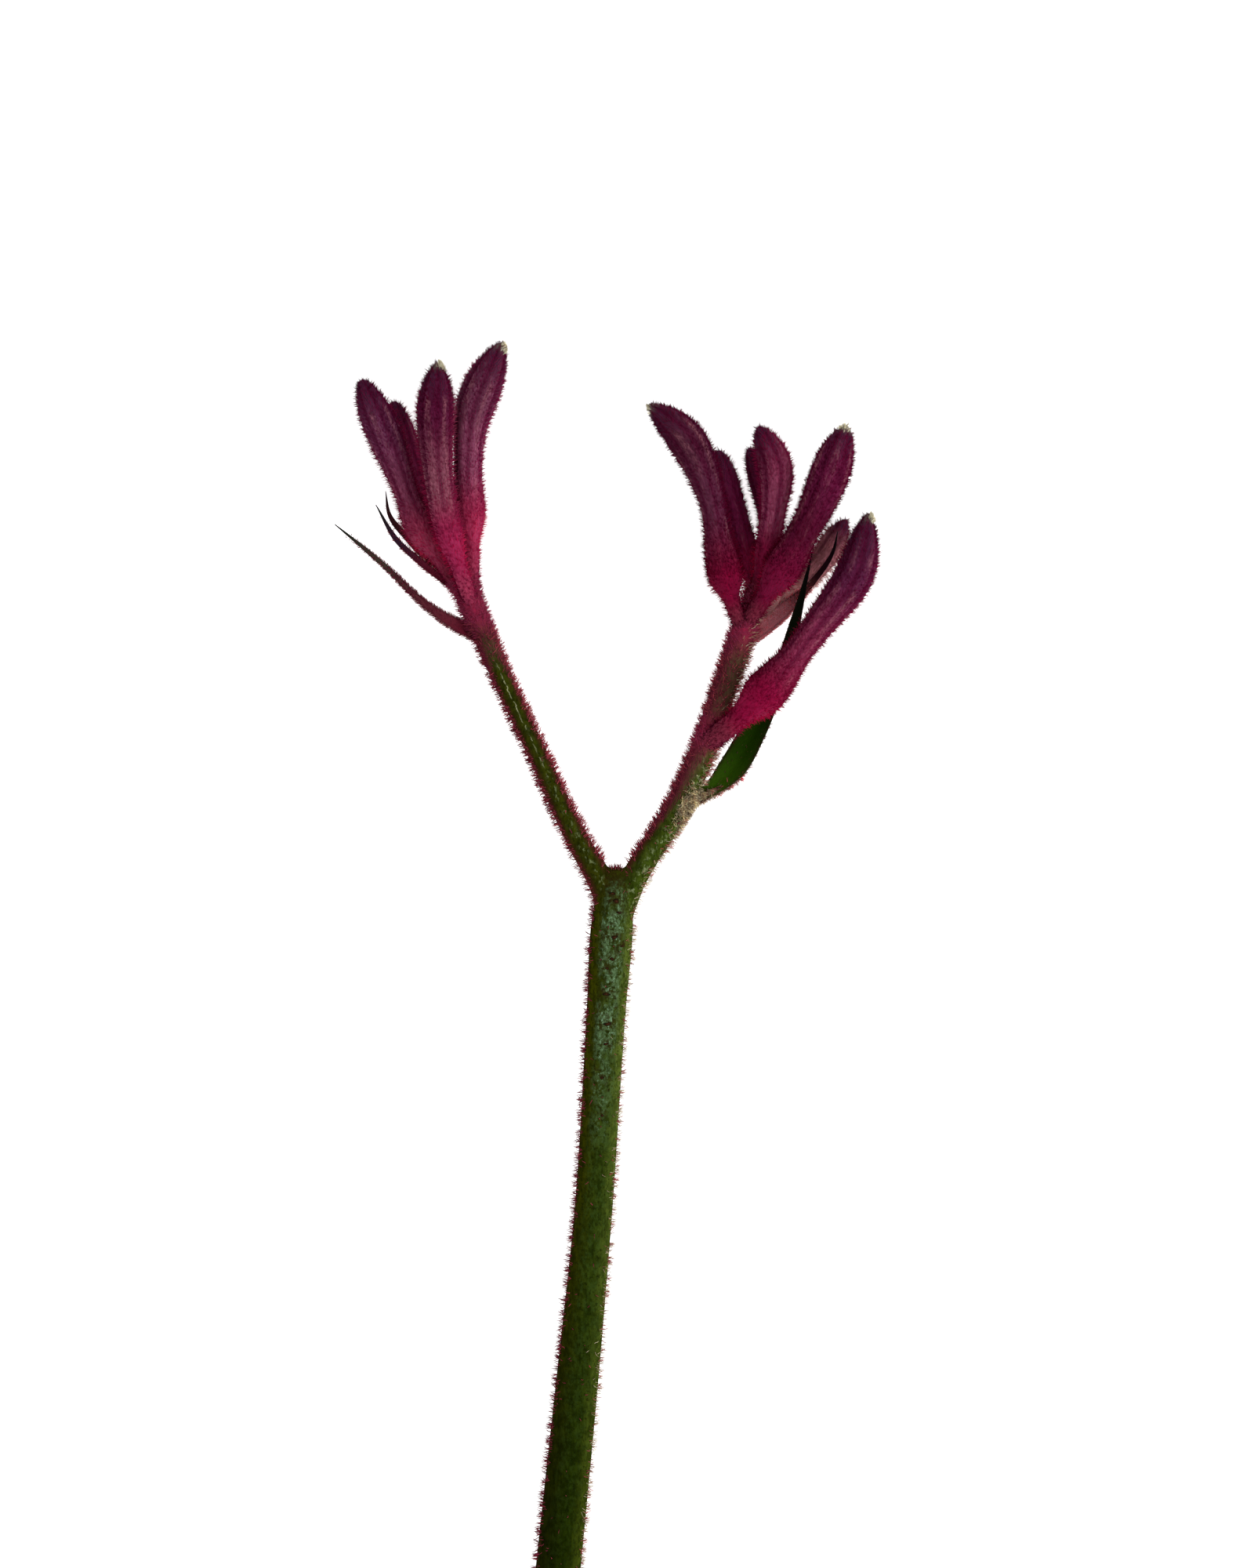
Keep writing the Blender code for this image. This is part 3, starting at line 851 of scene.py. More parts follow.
def felt_material(name, bud):
    """Felted skin: crimson ovary, duller tube and limb, painted shade in the furrows, pale tan patches on
    the ridges, streaks, and small spots of painted shadow.
    """
    made = Nodes(name)
    share = made.attribute("share")
    furrow = made.attribute("furrow")
    flow = made.attribute("flow", "Vector")
    stalk, ovary, neck, limb = bud.shares
    stops = {
        0.0: bud.foot,
        stalk * 0.6: bud.foot,
        stalk * 1.2: bud.ovary,
        ovary: bud.ovary,
        neck: bud.tube,
        limb: bud.limb,
        0.95: INK,
        1.0: SAGE if bud.tuft_size else INK,
    }
    streaks = made.noise(flow, 5.0, 4.0, 0.65)
    patches = made.spread(made.noise(flow, 1.1, 2.0), 0.42, 0.68)
    past_ovary = made.spread(share, ovary, neck)
    before_tip = made.spread(share, 0.95, 0.85)
    # paler tan on the ridges, in patches past the ovary
    patchy = made.product(made.spread(furrow, 0.55, 0.05), patches, before_tip, past_ovary, 0.38)
    # painted shade in the furrows past the ovary
    dark = made.product(made.spread(furrow, 0.55, 1.0), past_ovary, 0.62)
    colour = made.ramp(share, stops, LIGHT_UNDER_FELT)
    colour = made.layers(colour, LIGHT_UNDER_FELT, (patchy, TAN), (dark, FURROW_SHADE))
    colour = made.multiply(colour, streaks, FELT_GRAIN)
    # painted shadow: small dark spots where clumps of hair shade the skin
    shadow_dots = made.spread(made.cells(made.attribute("spot", "Vector"), 2.4), 0.26, 0.12)
    colour = made.layers(colour, LIGHT_UNDER_FELT, (made.product(shadow_dots, 0.15), INK))
    made.bump(streaks, 0.6, 0.12)
    return made.finish(
        colour,
        made.spread(streaks, 0.2, 0.8, 0.75, 0.95),
        Sheen_Weight=0.2,
        Sheen_Roughness=0.45,
        Sheen_Tint=(0.85, 0.2, 0.4, 1),
        Specular_IOR_Level=0.06,
    )


def hair_material(name, stops, shades):
    """Hairs coloured by their UV map: the stops across u, and lighter and lighter shades of them along v."""
    made = Nodes(name)
    node = made.node("UVMap")
    node.uv_map = HAIR_UV
    hue, light, _ = made.node("SeparateXYZ", node.outputs[0]).outputs
    colour = made.multiply(made.ramp(hue, stops, LIGHT_ON_FELT, smooth=False), light, shades)
    through = made.node("BsdfTranslucent", colour).outputs[0]
    both = made.node("MixShader", HAIR_CLEARNESS, made.shader.outputs[0], through)
    made.put(made.output.inputs["Surface"], both.outputs[0])
    return made.finish(colour, 0.6, Specular_IOR_Level=0.0)


def stem_green(made, lateral, high):
    """The green from side to side: of the stem, of the left branch, and of the right branch."""
    across = made.maths("MULTIPLY_ADD", lateral, 0.5, 0.5)
    fork = made.attribute("fork")
    low_green, top_green = (made.ramp(across, stops, LIGHT_ON_SKIN) for stops in (LOW_GREENS, TOP_GREENS))
    green = made.mix(high, low_green, top_green)
    green = made.mix(fork, green, made.mix(across, *map(bare, LEFT_BRANCH_GREENS)))
    return made.mix(made.spread(fork, 1, 2), green, made.mix(across, *map(bare, RIGHT_BRANCH_GREENS)))


def stem_marks(made, green, lateral, high, fleck):
    """The green skin with its marks laid over it in the order of MARKS."""
    # a band down the upper face: partly glaucous wax, partly a painted reflection of the light above
    bloom_and_reflection = made.attribute("bloom_and_reflection")
    specks = made.grain((1, 0.8, 1), 2700, 3.0, 0.7)
    line = made.spread(made.maths("ABSOLUTE", made.maths("ADD", lateral, 0.44)), 0.1, 0.02)
    dust_and_reflection = made.product(bloom_and_reflection, made.spread(made.grain((1, 0.5, 1), 500), 0.32, 0.56))
    blotch = made.spread(made.noise(made.position(), 900, 2.0), 0.56, 0.66)
    rim = made.product(made.spread(lateral, 0.55, 0.95), made.spread(high, 0.8, 1.2))
    wander = made.maths("MULTIPLY_ADD", made.grain((0, 1, 0), 620, 4.0, 0.7), -0.9, 0.4)
    # a pale broken line along the top of the left branch: partly a paler rib, partly a painted highlight
    rib_and_highlight = made.spread(made.maths("ABSOLUTE", made.maths("ADD", lateral, wander)), 0.07, 0.02)
    patchy = made.spread(made.noise(made.position(), 420), 0.3, 0.62)
    beads = made.spread(made.grain((0, 1, 0), 1500), 0.4, 0.56)
    return made.layers(
        green,
        LIGHT_ON_SKIN,
        (made.product(line, bloom_and_reflection, 0.75), MARKS["line"]),
        (made.product(dust_and_reflection, 0.6), MARKS["bloom_and_reflection"]),
        (made.product(dust_and_reflection, made.spread(fleck, 0.42, 0.56), 0.8), MARKS["powder"]),
        (made.product(dust_and_reflection, made.spread(specks, 0.55, 0.66), 0.85), MARKS["pale powder"]),
        (made.product(made.spread(bloom_and_reflection, 0.1, 0.6), blotch, 0.75), MARKS["blotch"]),
        (made.product(made.spread(specks, 0.46, 0.38), 0.7), MARKS["pit"]),
        (made.product(made.attribute("stain"), made.spread(specks, 0.62, 0.42), 0.9), MARKS["stain"]),
        (made.product(made.attribute("haze"), made.spread(fleck, 0.46, 0.62), 0.55), MARKS["haze"]),
        (made.product(rim, made.spread(fleck, 0.58, 0.64), 0.9), MARKS["right rim"]),
        (made.product(made.attribute("rib_and_highlight"), rib_and_highlight, patchy, beads), MARKS["rib_and_highlight"]),
        (made.product(made.attribute("chaff"), made.spread(fleck, 0.53, 0.62), 0.85), MARKS["chaff"]),
        (made.attribute("rim"), MARKS["branch edge"]),
    )


def stem_material():
    """Green skin with its marks, crimson towards the heads, and pale pith where it is cut."""
    made = Nodes("stem_skin")
    lateral = made.attribute("lateral")
    high = made.attribute("high")
    fibres = made.grain((1, 0.12, 1), 2400, 4.0, 0.6)
    fleck = made.grain((1, 0.6, 1), 1700, 4.0, 0.72)
    mottle = made.spread(made.grain((1, 0.7, 1), 900, 4.0, 0.7), 0.36, 0.64)
    mottling = made.mix(mottle, *MOTTLING)
    green = made.multiply(stem_green(made, lateral, high), fibres, STEM_GRAIN)
    green = made.mix(1.0, green, mottling, "MULTIPLY")
    green = stem_marks(made, green, lateral, high, fleck)
    right = (made.spread(lateral, -0.9, -0.1), WARM_BROWN)
    joint = (made.attribute("joint"), JOINT_RED)
    red = made.multiply(made.layers(bare(WARM_RED), LIGHT_ON_SKIN, right, joint), fibres, STEM_GRAIN)
    rings = made.spread(made.cells(made.position(), 1500), 0.1, 0.3)
    pith = made.mix(rings, *map(bare, PITH))
    colour = made.mix(made.attribute("cut"), made.mix(made.attribute("warm"), green, red), pith)
    made.bump(made.maths("ADD", fibres, fleck), 0.5, 0.1)
    return made.finish(colour, made.spread(fleck, 0.3, 0.7, 0.5, 0.75), Specular_IOR_Level=0.0)


def blade_material(name, colours):
    """A leaf with veins along it and dark margins."""
    made = Nodes(name)
    veins = made.noise(made.stretch(made.attribute("flow", "Vector"), (14, 1, 0.8)), 2.0)
    margin = made.spread(made.maths("ABSOLUTE", made.attribute("across")), 0.6, 1.0)
    colour = made.ramp(made.attribute("share"), colours, LIGHT_ON_SKIN)
    colour = made.multiply(colour, veins, BLADE_GRAIN)
    colour = made.layers(colour, LIGHT_ON_SKIN, (made.product(margin, 0.5), MARGIN_RED))
    made.bump(veins, 0.5, 0.08)
    return made.finish(colour, made.spread(veins, 0.3, 0.7, 0.45, 0.65), Specular_IOR_Level=0.02)


def scar_material():
    made = Nodes("stem_scar")
    grain = made.noise(made.position(), 4200)
    edge = made.maths("ADD", made.attribute("reach"), made.maths("MULTIPLY_ADD", grain, 0.9, -0.45))
    made.bump(grain, 0.5, 0.08)
    colour = made.ramp(edge, SCAR_COLOURS, LIGHT_ON_SKIN)
    return made.finish(colour, made.spread(grain, 0.3, 0.7, 0.6, 0.85), Specular_IOR_Level=0.03)


def scatter(count):
    """Evenly scattered pairs from 0 to 1."""
    n = np.arange(1, count + 1)
    return np.stack([(0.5 + n * step) % 1 for step in SCATTER_STEPS], -1)


def across_of(direction):
    """Two unit vectors across each direction."""
    helper = np.where(np.abs(direction[:, 2:]) > 0.9, (1.0, 0.0, 0.0), (0.0, 0.0, 1.0))
    first = unit(np.cross(direction, helper))
    return first, np.cross(direction, first)


def hair_faces(bent):
    """The triangles of one hair: its root, its sides and, where it bends, the sides above the bend."""
    tip = HAIR_SIDES * (2 if bent else 1)
    faces = [tuple(reversed(range(HAIR_SIDES)))]
    for k in range(HAIR_SIDES):
        n = (k + 1) % HAIR_SIDES
        if bent:
            faces += [(k, n, HAIR_SIDES + n), (k, HAIR_SIDES + n, HAIR_SIDES + k)]
        faces.append((tip - HAIR_SIDES + k, tip - HAIR_SIDES + n, tip))
    return np.array(faces)


def hair_points(root, out, length, width, bend):
    """The points of each hair, its tip last, and the way that each point faces from the hair's middle."""
    first, second = across_of(out)
    middle = root + out * (length * HAIR_MIDDLE)[:, None]
    bases = [root] if bend is None else [root, middle]
    points = np.empty((len(root), HAIR_SIDES * len(bases) + 1, 3))
    radial = np.zeros_like(points)
    for j, base in enumerate(bases):
        for k in range(HAIR_SIDES):
            turn = 2 * np.pi * k / HAIR_SIDES
            corner = HAIR_SIDES * j + k
            radial[:, corner] = np.cos(turn) * first + np.sin(turn) * second
            across = radial[:, corner] * (width / 2)[:, None]
            points[:, corner] = base + across * (1 - HAIR_NARROWING * j)
    onward = out if bend is None else unit(out + bend)
    points[:, -1] = middle + onward * (length * (1 - HAIR_MIDDLE))[:, None]
    return above_floor(points), radial


def hair_uv(hue, light, bent):
    """Where the points of each hair lie in its colours: its hue across, and how light it is upwards."""
    levels = [0.0, HAIR_MIDDLE] if bent else [0.0]
    shift = np.array([-1, 0, 1] * len(levels) + [0]) * HAIR_UV_WIDTH
    along = np.repeat([*levels, 1.0], [HAIR_SIDES] * len(levels) + [1])
    u = np.clip(hue, 0.02, 0.98)[:, None] + shift
    v = np.clip(light, 0, 1)[:, None] * HAIR_UV_HEIGHT + HAIR_UV_LOWEST + along * LIGHTER_TO_TIP
    return np.stack([u, v], -1).reshape(-1, 2)


def shade_as(mesh, facing, radial):
    """Turns the normals of each hair towards the way its skin faces, which gives felt one soft surface."""
    normals = unit(facing[:, None] + radial * HAIR_ROUNDNESS)
    mesh.normals_split_custom_set_from_vertices(normals.reshape(-1, 3).astype(np.float32))


def hair_mesh(name, root, out, length, width, hue, light, bend=None, facing=None):
    """Closed spikes with three sides, bent once where bend is given."""
    points, radial = hair_points(root, out, length, width, bend)
    starts = np.arange(len(root))[:, None] * points.shape[1]
    corners = (hair_faces(bend is not None).ravel()[None] + starts).ravel()
    mesh = bpy.data.meshes.new(name)
    mesh.vertices.add(points.size // 3)
    mesh.vertices.foreach_set("co", (points * MM).astype(np.float32).ravel())
    mesh.loops.add(len(corners))
    mesh.loops.foreach_set("vertex_index", corners.astype(np.int32))
    mesh.polygons.add(len(corners) // 3)
    mesh.polygons.foreach_set("loop_start", np.arange(0, len(corners), 3, dtype=np.int32))
    mesh.update(calc_edges=True)
    layer = mesh.uv_layers.new(name=HAIR_UV)
    uv = hair_uv(hue, light, bend is not None)
    layer.uv.foreach_set("vector", uv[corners].astype(np.float32).ravel())
    mesh.shade_smooth()
    if facing is not None:
        shade_as(mesh, facing, radial)
    return mesh


def sizes(rng, kind, count):
    """A length and a width for each hair of this kind."""
    return rng.uniform(*kind.lengths, count), rng.uniform(*kind.widths, count)


def strayed(rng, ways, stray):
    """Unit directions that stray from these ways."""
    return unit(ways + rng.normal(0, stray, ways.shape))


def bud_mesh(name, skin):
    """The skin of a bud: even rings along it, and rings that draw together over its tip."""
    line = skin.line
    end = 1 + SKIN_OUTSET / line.length
    body = np.linspace(SKIN_START, 1 - TIP_SHARE, SKIN_RINGS)
    closing = np.sin(np.linspace(0, np.pi / 2, TIP_RINGS + 1))[1:]
    share = np.concatenate([body, 1 - TIP_SHARE + TIP_SHARE * closing * 0.999]) * end
    angle = np.arange(SKIN_SIDES) * 2 * np.pi / SKIN_SIDES
    shares, angles = np.meshgrid(share, angle, indexing="ij")
    grid = skin.at(shares / end, angles)[0]
    grid += (line.at(share)[0] - line.at(share / end)[0])[:, None]
    start = line.at(share[:1])[0][0]
    last = grid[-1].mean(axis=0)
    mesh = grid_mesh(name + "_skin", above_floor(grid), start, last)
    add_floats(mesh, share=[*shares.ravel(), share[0], 1.0], furrow=[*furrow_at(angles).ravel(), 0.5, 0.5])
    around = (2 * np.cos(angles), 2 * np.sin(angles))
    distance = shares * line.length
    add_vector(mesh, "flow", np.stack([*around, distance * 0.22], -1))
    add_vector(mesh, "spot", np.stack([*around, distance], -1))
    return mesh


def on_skin(skin, per_mm2, rng):
    """Shares and angles of points scattered over a bud's skin, as many to each square millimetre."""
    fine = np.linspace(0.03, 0.997, SKIN_SAMPLES)
    girth = skin.radius(fine, np.full(SKIN_SAMPLES, np.pi / LOBES)) * 2 * np.pi
    covered = np.concatenate([[0], np.cumsum((girth[1:] + girth[:-1]) / 2 * np.diff(fine))])
    count = int(covered[-1] * skin.line.length * per_mm2)
    pairs = scatter(count)
    spacing = 1 / np.sqrt(per_mm2)
    share = np.interp(pairs[:, 0] * covered[-1], covered, fine)
    share += rng.normal(0, 0.5 * spacing / skin.line.length, count)
    angle = pairs[:, 1] * 2 * np.pi + rng.normal(0, 0.5 * spacing / 2, count)
    return np.clip(share, 0.02, 0.998), angle


def lightness(skin, share, angle, out, rng):
    """Where each hair lies in FELT_SHADES: painted shade in the furrows and on the shaded side, crimson at
    the flanks, painted light as mauve on the faces.
    """
    stalk, ovary, neck, limb = skin.bud.shares
    furrow = furrow_at(angle)
    p = skin.phases
    patch = np.sin(14 * share + p[3]) + np.sin(2 * angle + 9 * share + p[4])
    patch += np.sin(23 * share + angle + p[5])
    # painted light: felt that faces up or down is drawn lit and mauve, more on the tube and limb than on the
    # ovary, less on the shaded side
    face = past(np.abs(out[:, 2]), 0.45, 0.35)
    # painted shade on the side of the bud away from the light, less mauve there
    shaded_way = out[:, 0] * skin.bud.shaded_side
    deep = np.clip(shaded_way / 0.5 - 0.15, 0, 1)
    lit_face = face * np.interp(share, (stalk, ovary, neck), (0.35, 0.4, 1.0)) * (1 - 0.6 * deep)
    shown = np.interp(share, (ovary, neck), (0.3, 1.0))
    light = 0.24 + 0.3 * lit_face + 0.11 * patch * (1 - furrow) * (0.3 + 0.7 * lit_face)
    # painted shade in the furrows
    light -= 0.28 * shown * furrow**2
    # painted shade on the shaded side; the felt also darkens past the limb towards the tip
    light -= 0.12 * deep + 0.2 * past(share - limb, 0.1, 0.1)
    light -= 0.12 * np.clip(1.4 - share / stalk, 0, 1)
    # painted light on the lit side, from the foot to the ovary and fading by the neck
    light += 0.08 * np.clip(-shaded_way, 0, 1) * np.interp(share, (ovary, neck), (1.0, 0.0))
    return light + rng.normal(0, 0.045, len(share))


def backlit_hue(bud, share, out, hue):
    """Spikes at the flanks of the tube and limb take nearly the ovary's crimson, a painted glow of backlit
    hair, but not at the dark tip.
    """
    ovary = bud.shares[1]
    edge = np.interp(np.abs(out[:, 2]), (0.2, 0.7), (0.65, 0.0))
    edge *= np.interp(share, (0.88, 0.95), (1.0, 0.0))
    return np.where(share > ovary, hue + (ovary - hue) * edge, hue)


def bud_hairs(name, skin, seed, kind):
    """Hairs on a bud that lean towards its tip: the short felt, or the spikes."""
    rng = np.random.default_rng(seed)
    bud = skin.bud
    share, angle = on_skin(skin, kind.per_mm2, rng)
    count = len(share)
    root, out, forward = skin.at(share, angle)
    chance = np.ones(count)
    if kind is SPIKES:
        chance -= SPIKES_LESS_ON_TOP * past(out[:, 2], 0.3, 0.4)
    if bud.tuft_size:
        facing_tuft = np.cos(angle - np.radians(bud.tuft - bud.turn))
        chance[(share > TUFT_FROM) & (facing_tuft > 0.2)] = 0.1
    keep = rng.random(count) < chance
    share, angle, root, out, forward = (values[keep] for values in (share, angle, root, out, forward))
    count = len(share)
    lean = rng.uniform(*kind.leans, count)[:, None]
    direction = strayed(rng, out + forward * lean, kind.stray)
    length, width = sizes(rng, kind, count)
    hue = share + rng.normal(0, 0.03, count)
    light = lightness(skin, share, angle, out, rng)
    if kind is SPIKES:
        # painted glow of backlit hair: spikes at the flanks are lighter and more crimson, those on top a
        # little darker
        light += np.interp(out[:, 2], (0.2, 0.7), (0.2, -0.1))
        hue = backlit_hue(bud, share, out, hue)
    return hair_mesh(name, root - out * ROOT_DEPTH, direction, length, width, hue, light, facing=out)


def bud_hair_stops(bud):
    """The colours of a bud's hairs at shares of its length."""
    stalk, ovary, neck, limb = bud.shares
    if bud.pale:
        pale_stops = {0.0: (200, 150, 146), ovary: (196, 150, 146), neck: (156, 106, 106)}
        return pale_stops | {0.84: (124, 72, 78), 0.9: WINE}
    return {
        0.0: mixed(bud.foot, INK, 0.4),
        stalk * 0.6: bud.foot,
        stalk * 1.1: mixed(bud.ovary, ROSE, 0.3),
        (stalk + ovary) / 2: mixed(bud.ovary, ROSE, 0.5),
        ovary: bud.ovary,
        neck: mixed(bud.tube, CRIMSON, 0.15),
        limb: mixed(bud.limb, CRIMSON, 0.1),
        0.94: mixed(bud.limb, WINE, 0.45),
        1.0: INK,
    }


def tuft_hairs(name, skin, seed):
    """Short pale wool on one side of the bud's tip."""
    rng = np.random.default_rng(seed)
    bud = skin.bud
    count = bud.tuft_size
    share = np.clip(rng.normal(0.985, 0.009, count), 0.95, 0.998)
    angle = np.radians(bud.tuft - bud.turn) + rng.normal(0, 0.55, count)
    root, out, forward = skin.at(share, angle)
    direction = strayed(rng, out + forward * 0.5, TUFT.stray)
    bend = rng.normal(0, TUFT.curl, (count, 3))
    length, width = sizes(rng, TUFT, count)
    light = rng.uniform(0.2, 1.0, count)
    hue = rng.uniform(0, 1, count)
    return hair_mesh(name, root, direction, length, width, hue, light, bend, out)


def build_buds():
    for seed, (name, bud) in enumerate(BUDS.items(), start=BUD_SEEDS):
        skin = BudSkin(bud, seed)
        add_piece(bud_mesh(name, skin), felt_material(name + "_felt", bud), name)
        shades = PLAIN_SHADES if bud.pale else FELT_SHADES
        material = hair_material(name + "_hair", bud_hair_stops(bud), shades)
        add_piece(bud_hairs(name + "_felt", skin, seed, FELT), material)
        add_piece(bud_hairs(name + "_spikes", skin, seed, SPIKES), material)
        if bud.tuft_size:
            wool = hair_material(name + "_wool", TUFT_TINTS, PLAIN_SHADES)
            add_piece(tuft_hairs(name + "_tuft", skin, seed), wool)


def tube_grid(line):
    """Rings round a line, flat at its start and domed at its end, and the centres of both ends."""
    end = line.curve[-1, 3]
    straight = np.linspace(0, line.length - end, STEM_RINGS)
    dome = np.sin(np.radians(np.arange(10, 90, 10)))
    places = np.concatenate([straight, line.length - end * (1 - dome)])
    shrink = np.append(np.ones(STEM_RINGS), np.sqrt(1 - dome**2))
    spots, side, up, _ = line.at(places / line.length)
    angle = np.arange(STEM_SIDES) * 2 * np.pi / STEM_SIDES
    across = np.cos(angle)[None, :, None] * side[:, None] + np.sin(angle)[None, :, None] * up[:, None]
    radius = spots[:, 3] * shrink
    return spots[:, None, :3] + across * radius[:, None, None], spots[0, :3], line.curve[-1, :3]


def nearest(points, lines):
    """For each point, which line it belongs to, and its place across that line, sideways and upwards."""
    best = np.full(len(points), np.inf)
    which = np.zeros(len(points), int)
    lateral = np.zeros(len(points))
    upper = np.zeros(len(points))
    for i, line in enumerate(lines):
        centres = line.curve[:, :3]
        for start in range(0, len(points), POINTS_AT_ONCE):
            part = slice(start, start + POINTS_AT_ONCE)
            gaps = np.linalg.norm(points[part, None] - centres[None], axis=2) / line.curve[None, :, 3]
            spot = gaps.argmin(axis=1)
            gap = gaps[np.arange(len(spot)), spot]
            columns = line.columns[spot]
            offset = (points[part] - columns[:, :3]) / columns[:, 3:4]
            better = gap < best[part]
            best[part] = np.where(better, gap, best[part])
            which[part] = np.where(better, i, which[part])
            lateral[part] = np.where(better, (offset * columns[:, 4:7]).sum(axis=1), lateral[part])
            upper[part] = np.where(better, (offset * columns[:, 7:10]).sum(axis=1), upper[part])
    return which, lateral, upper


def stem_lines():
    return [Line(route) for route in (STEM_ROUTE, BRANCH_LEFT_ROUTE, BRANCH_RIGHT_ROUTE)]


def warmth(which, y, lateral):
    """How crimson the stem is: green below, and turning on each branch towards its head."""
    left = np.clip((y - 56.5 + 6 * lateral**2) / 5, 0, 1)
    right = np.clip((y - 37 - 8 * lateral) / 7, 0, 1)
    return np.select([which == LEFT, which == RIGHT], [left, right], 0.0)


def joint_at(which, y):
    """How near a place on a branch is to where buds leave it."""
    left = past(y, LEFT_HEAD_AT, 3)
    right = bell(y, LOW_BUD_AT, 2.5) + past(y, RIGHT_HEAD_AT, 4)
    return np.select([which == LEFT, which == RIGHT], [left, right], 0.0)


def stain_at(which, y, lateral):
    """How brown the stem's skin is: round its scars, and in the fork."""
    near = [
        np.exp(-(((lateral - place) * 3 / size) ** 2) - ((y - spot) / 0.65 / size) ** 2)
        for spot, place, size in SCARS
    ]
    return np.maximum(np.max(near, axis=0), 0.6 * past(y, 24, 2)) * (which == STEM)


def stem_mesh():
    """The stem and its branches as one skin: three tubes that a remesh grows together and evens out."""
    joined = bpy.data.meshes.new("stem_joined")
    points = []
    faces = []
    for line in stem_lines():
        tube = grid_mesh("stem_tube", *tube_grid(line))
        offset = len(points)
        points += [tuple(v.co) for v in tube.vertices]
        faces += [tuple(i + offset for i in face.vertices) for face in tube.polygons]
        bpy.data.meshes.remove(tube)
    joined.from_pydata(points, [], faces)
    obj = bpy.data.objects.new("stem_joined", joined)
    bpy.context.scene.collection.objects.link(obj)
    remesh = obj.modifiers.new("one skin", "REMESH")
    remesh.mode = "VOXEL"
    remesh.voxel_size = STEM_VOXEL * MM
    smooth = obj.modifiers.new("even", "SMOOTH")
    smooth.iterations = STEM_SMOOTHING
    bpy.context.view_layer.update()
    graph = bpy.context.evaluated_depsgraph_get()
    mesh = bpy.data.meshes.new_from_object(obj.evaluated_get(graph))
    bpy.data.objects.remove(obj)
    mesh.name = "stem_skin"
    mesh.materials.clear()
    mesh.shade_smooth()
    return mesh


def stem_shares(which, y, lateral, upper):
    """How strongly each colour or mark of the stem's material shows at each point of its skin."""
    left = which == LEFT
    right = which == RIGHT
    on_stem = which == STEM
    on_top = upper > 0
    # a band down the top of the stem: partly glaucous wax, partly a painted reflection of the light above
    bloom_and_reflection = bell(lateral, 0.05, 0.5, 4) * np.clip(upper * 3, 0, 1)
    haze = np.clip((0.9 - np.abs(lateral - 0.2)) / 0.4, 0, 1) * on_top * on_stem
    left_chaff = bell(lateral, 0.1, 0.2) * np.interp(y, (40, 44), (1.0, 0.15)) * left
    right_chaff = bell(lateral, 0.4, 0.4) * np.interp(y, (45, 50), (1.0, 0.0)) * right
    rim = past(np.abs(lateral), 0.42, 0.45) * (which > STEM)
    return {
        "lateral": lateral,
        "warm": warmth(which, y, lateral),
        "joint": joint_at(which, y),
        "stain": stain_at(which, y, lateral),
        "cut": np.clip((CUT_AT - y) / 0.3, 0, 1) * (np.hypot(lateral, upper) < 0.93),
        "high": past(y, -62, 60),
        "bloom_and_reflection": bloom_and_reflection * (np.interp(y, (-12, 3, 22, 27), (0, 1, 1, 0)) * on_stem),
        "haze": haze * np.interp(y, (-90, -35, -2, 8), (0.0, 0.6, 1, 0)),
        "rib_and_highlight": np.interp(y, (40.5, 43, 55, 58), (0.0, 1.0, 1.0, 0.4)) * left * on_top,
        "chaff": (left_chaff + right_chaff) * on_top,
        "fork": np.where(on_stem, past(y, 23, 4), which),
        "rim": rim * np.where(right & (lateral > 0), 0.15, 1.0),
    }


def build_stem():
    mesh = stem_mesh()
    flat = np.empty(len(mesh.vertices) * 3, np.float32)
    mesh.vertices.foreach_get("co", flat)
    points = flat.reshape(-1, 3).astype(float) / MM
    which, lateral, upper = nearest(points, stem_lines())
    points[:, 2] = np.maximum(points[:, 2], 0.0)
    mesh.vertices.foreach_set("co", (points * MM).astype(np.float32).ravel())
    add_floats(mesh, **stem_shares(which, points[:, 1], lateral, upper))
    add_piece(mesh, stem_material(), "stem")


def scar_grid(line, y, lateral, size, rng):
    """A low oval mound on the stem's upper face, wider than it is long, as rings from its top outwards."""
    share = np.interp(y, line.curve[:, 1], line.along) / line.length
    centre, out, forward = tube_at(line, np.array([share]), np.array([np.arccos(lateral)]))
    beside = np.cross(forward[0], out[0])
    turn = np.arange(SCAR_SIDES) * 2 * np.pi / SCAR_SIDES
    first, second = rng.uniform(0, 2 * np.pi, 2)
    outline = 1 + 0.2 * np.sin(2 * turn + first) + 0.14 * np.sin(3 * turn + second)
    rings = []
    for reach in SCAR_RINGS:
        across = np.outer(np.cos(turn) * outline * size / 2 * reach, beside)
        along = np.outer(np.sin(turn) * outline * size * 0.3 * reach, forward[0])
        rings.append(centre[0] + across + along + out[0] * (SCAR_HEIGHT - SCAR_FALL * reach**2))
    return np.array(rings), centre[0] + out[0] * SCAR_TOP, centre[0] - out[0] * SCAR_ROOT


def build_scars(line):
    """Small corky scars in the pale band down the middle of the stem's upper face, which is partly glaucous
    wax and partly a painted reflection.
    """
    rng = np.random.default_rng(SCAR_SEED)
    material = scar_material()
    for i, (y, lateral, size) in enumerate(SCARS):
        mesh = grid_mesh(f"stem_scar_{i}", *scar_grid(line, y, lateral, size, rng))
        add_floats(mesh, reach=[*np.repeat(SCAR_RINGS, SCAR_SIDES), 0.0, 1.0])
        add_piece(mesh, material)


def tube_at(line, share, angle):
    spots, side, up, forward = line.at(share)
    across = np.cos(angle)[..., None] * side + np.sin(angle)[..., None] * up
    return spots[..., :3] + across * spots[..., 3:4], across, forward


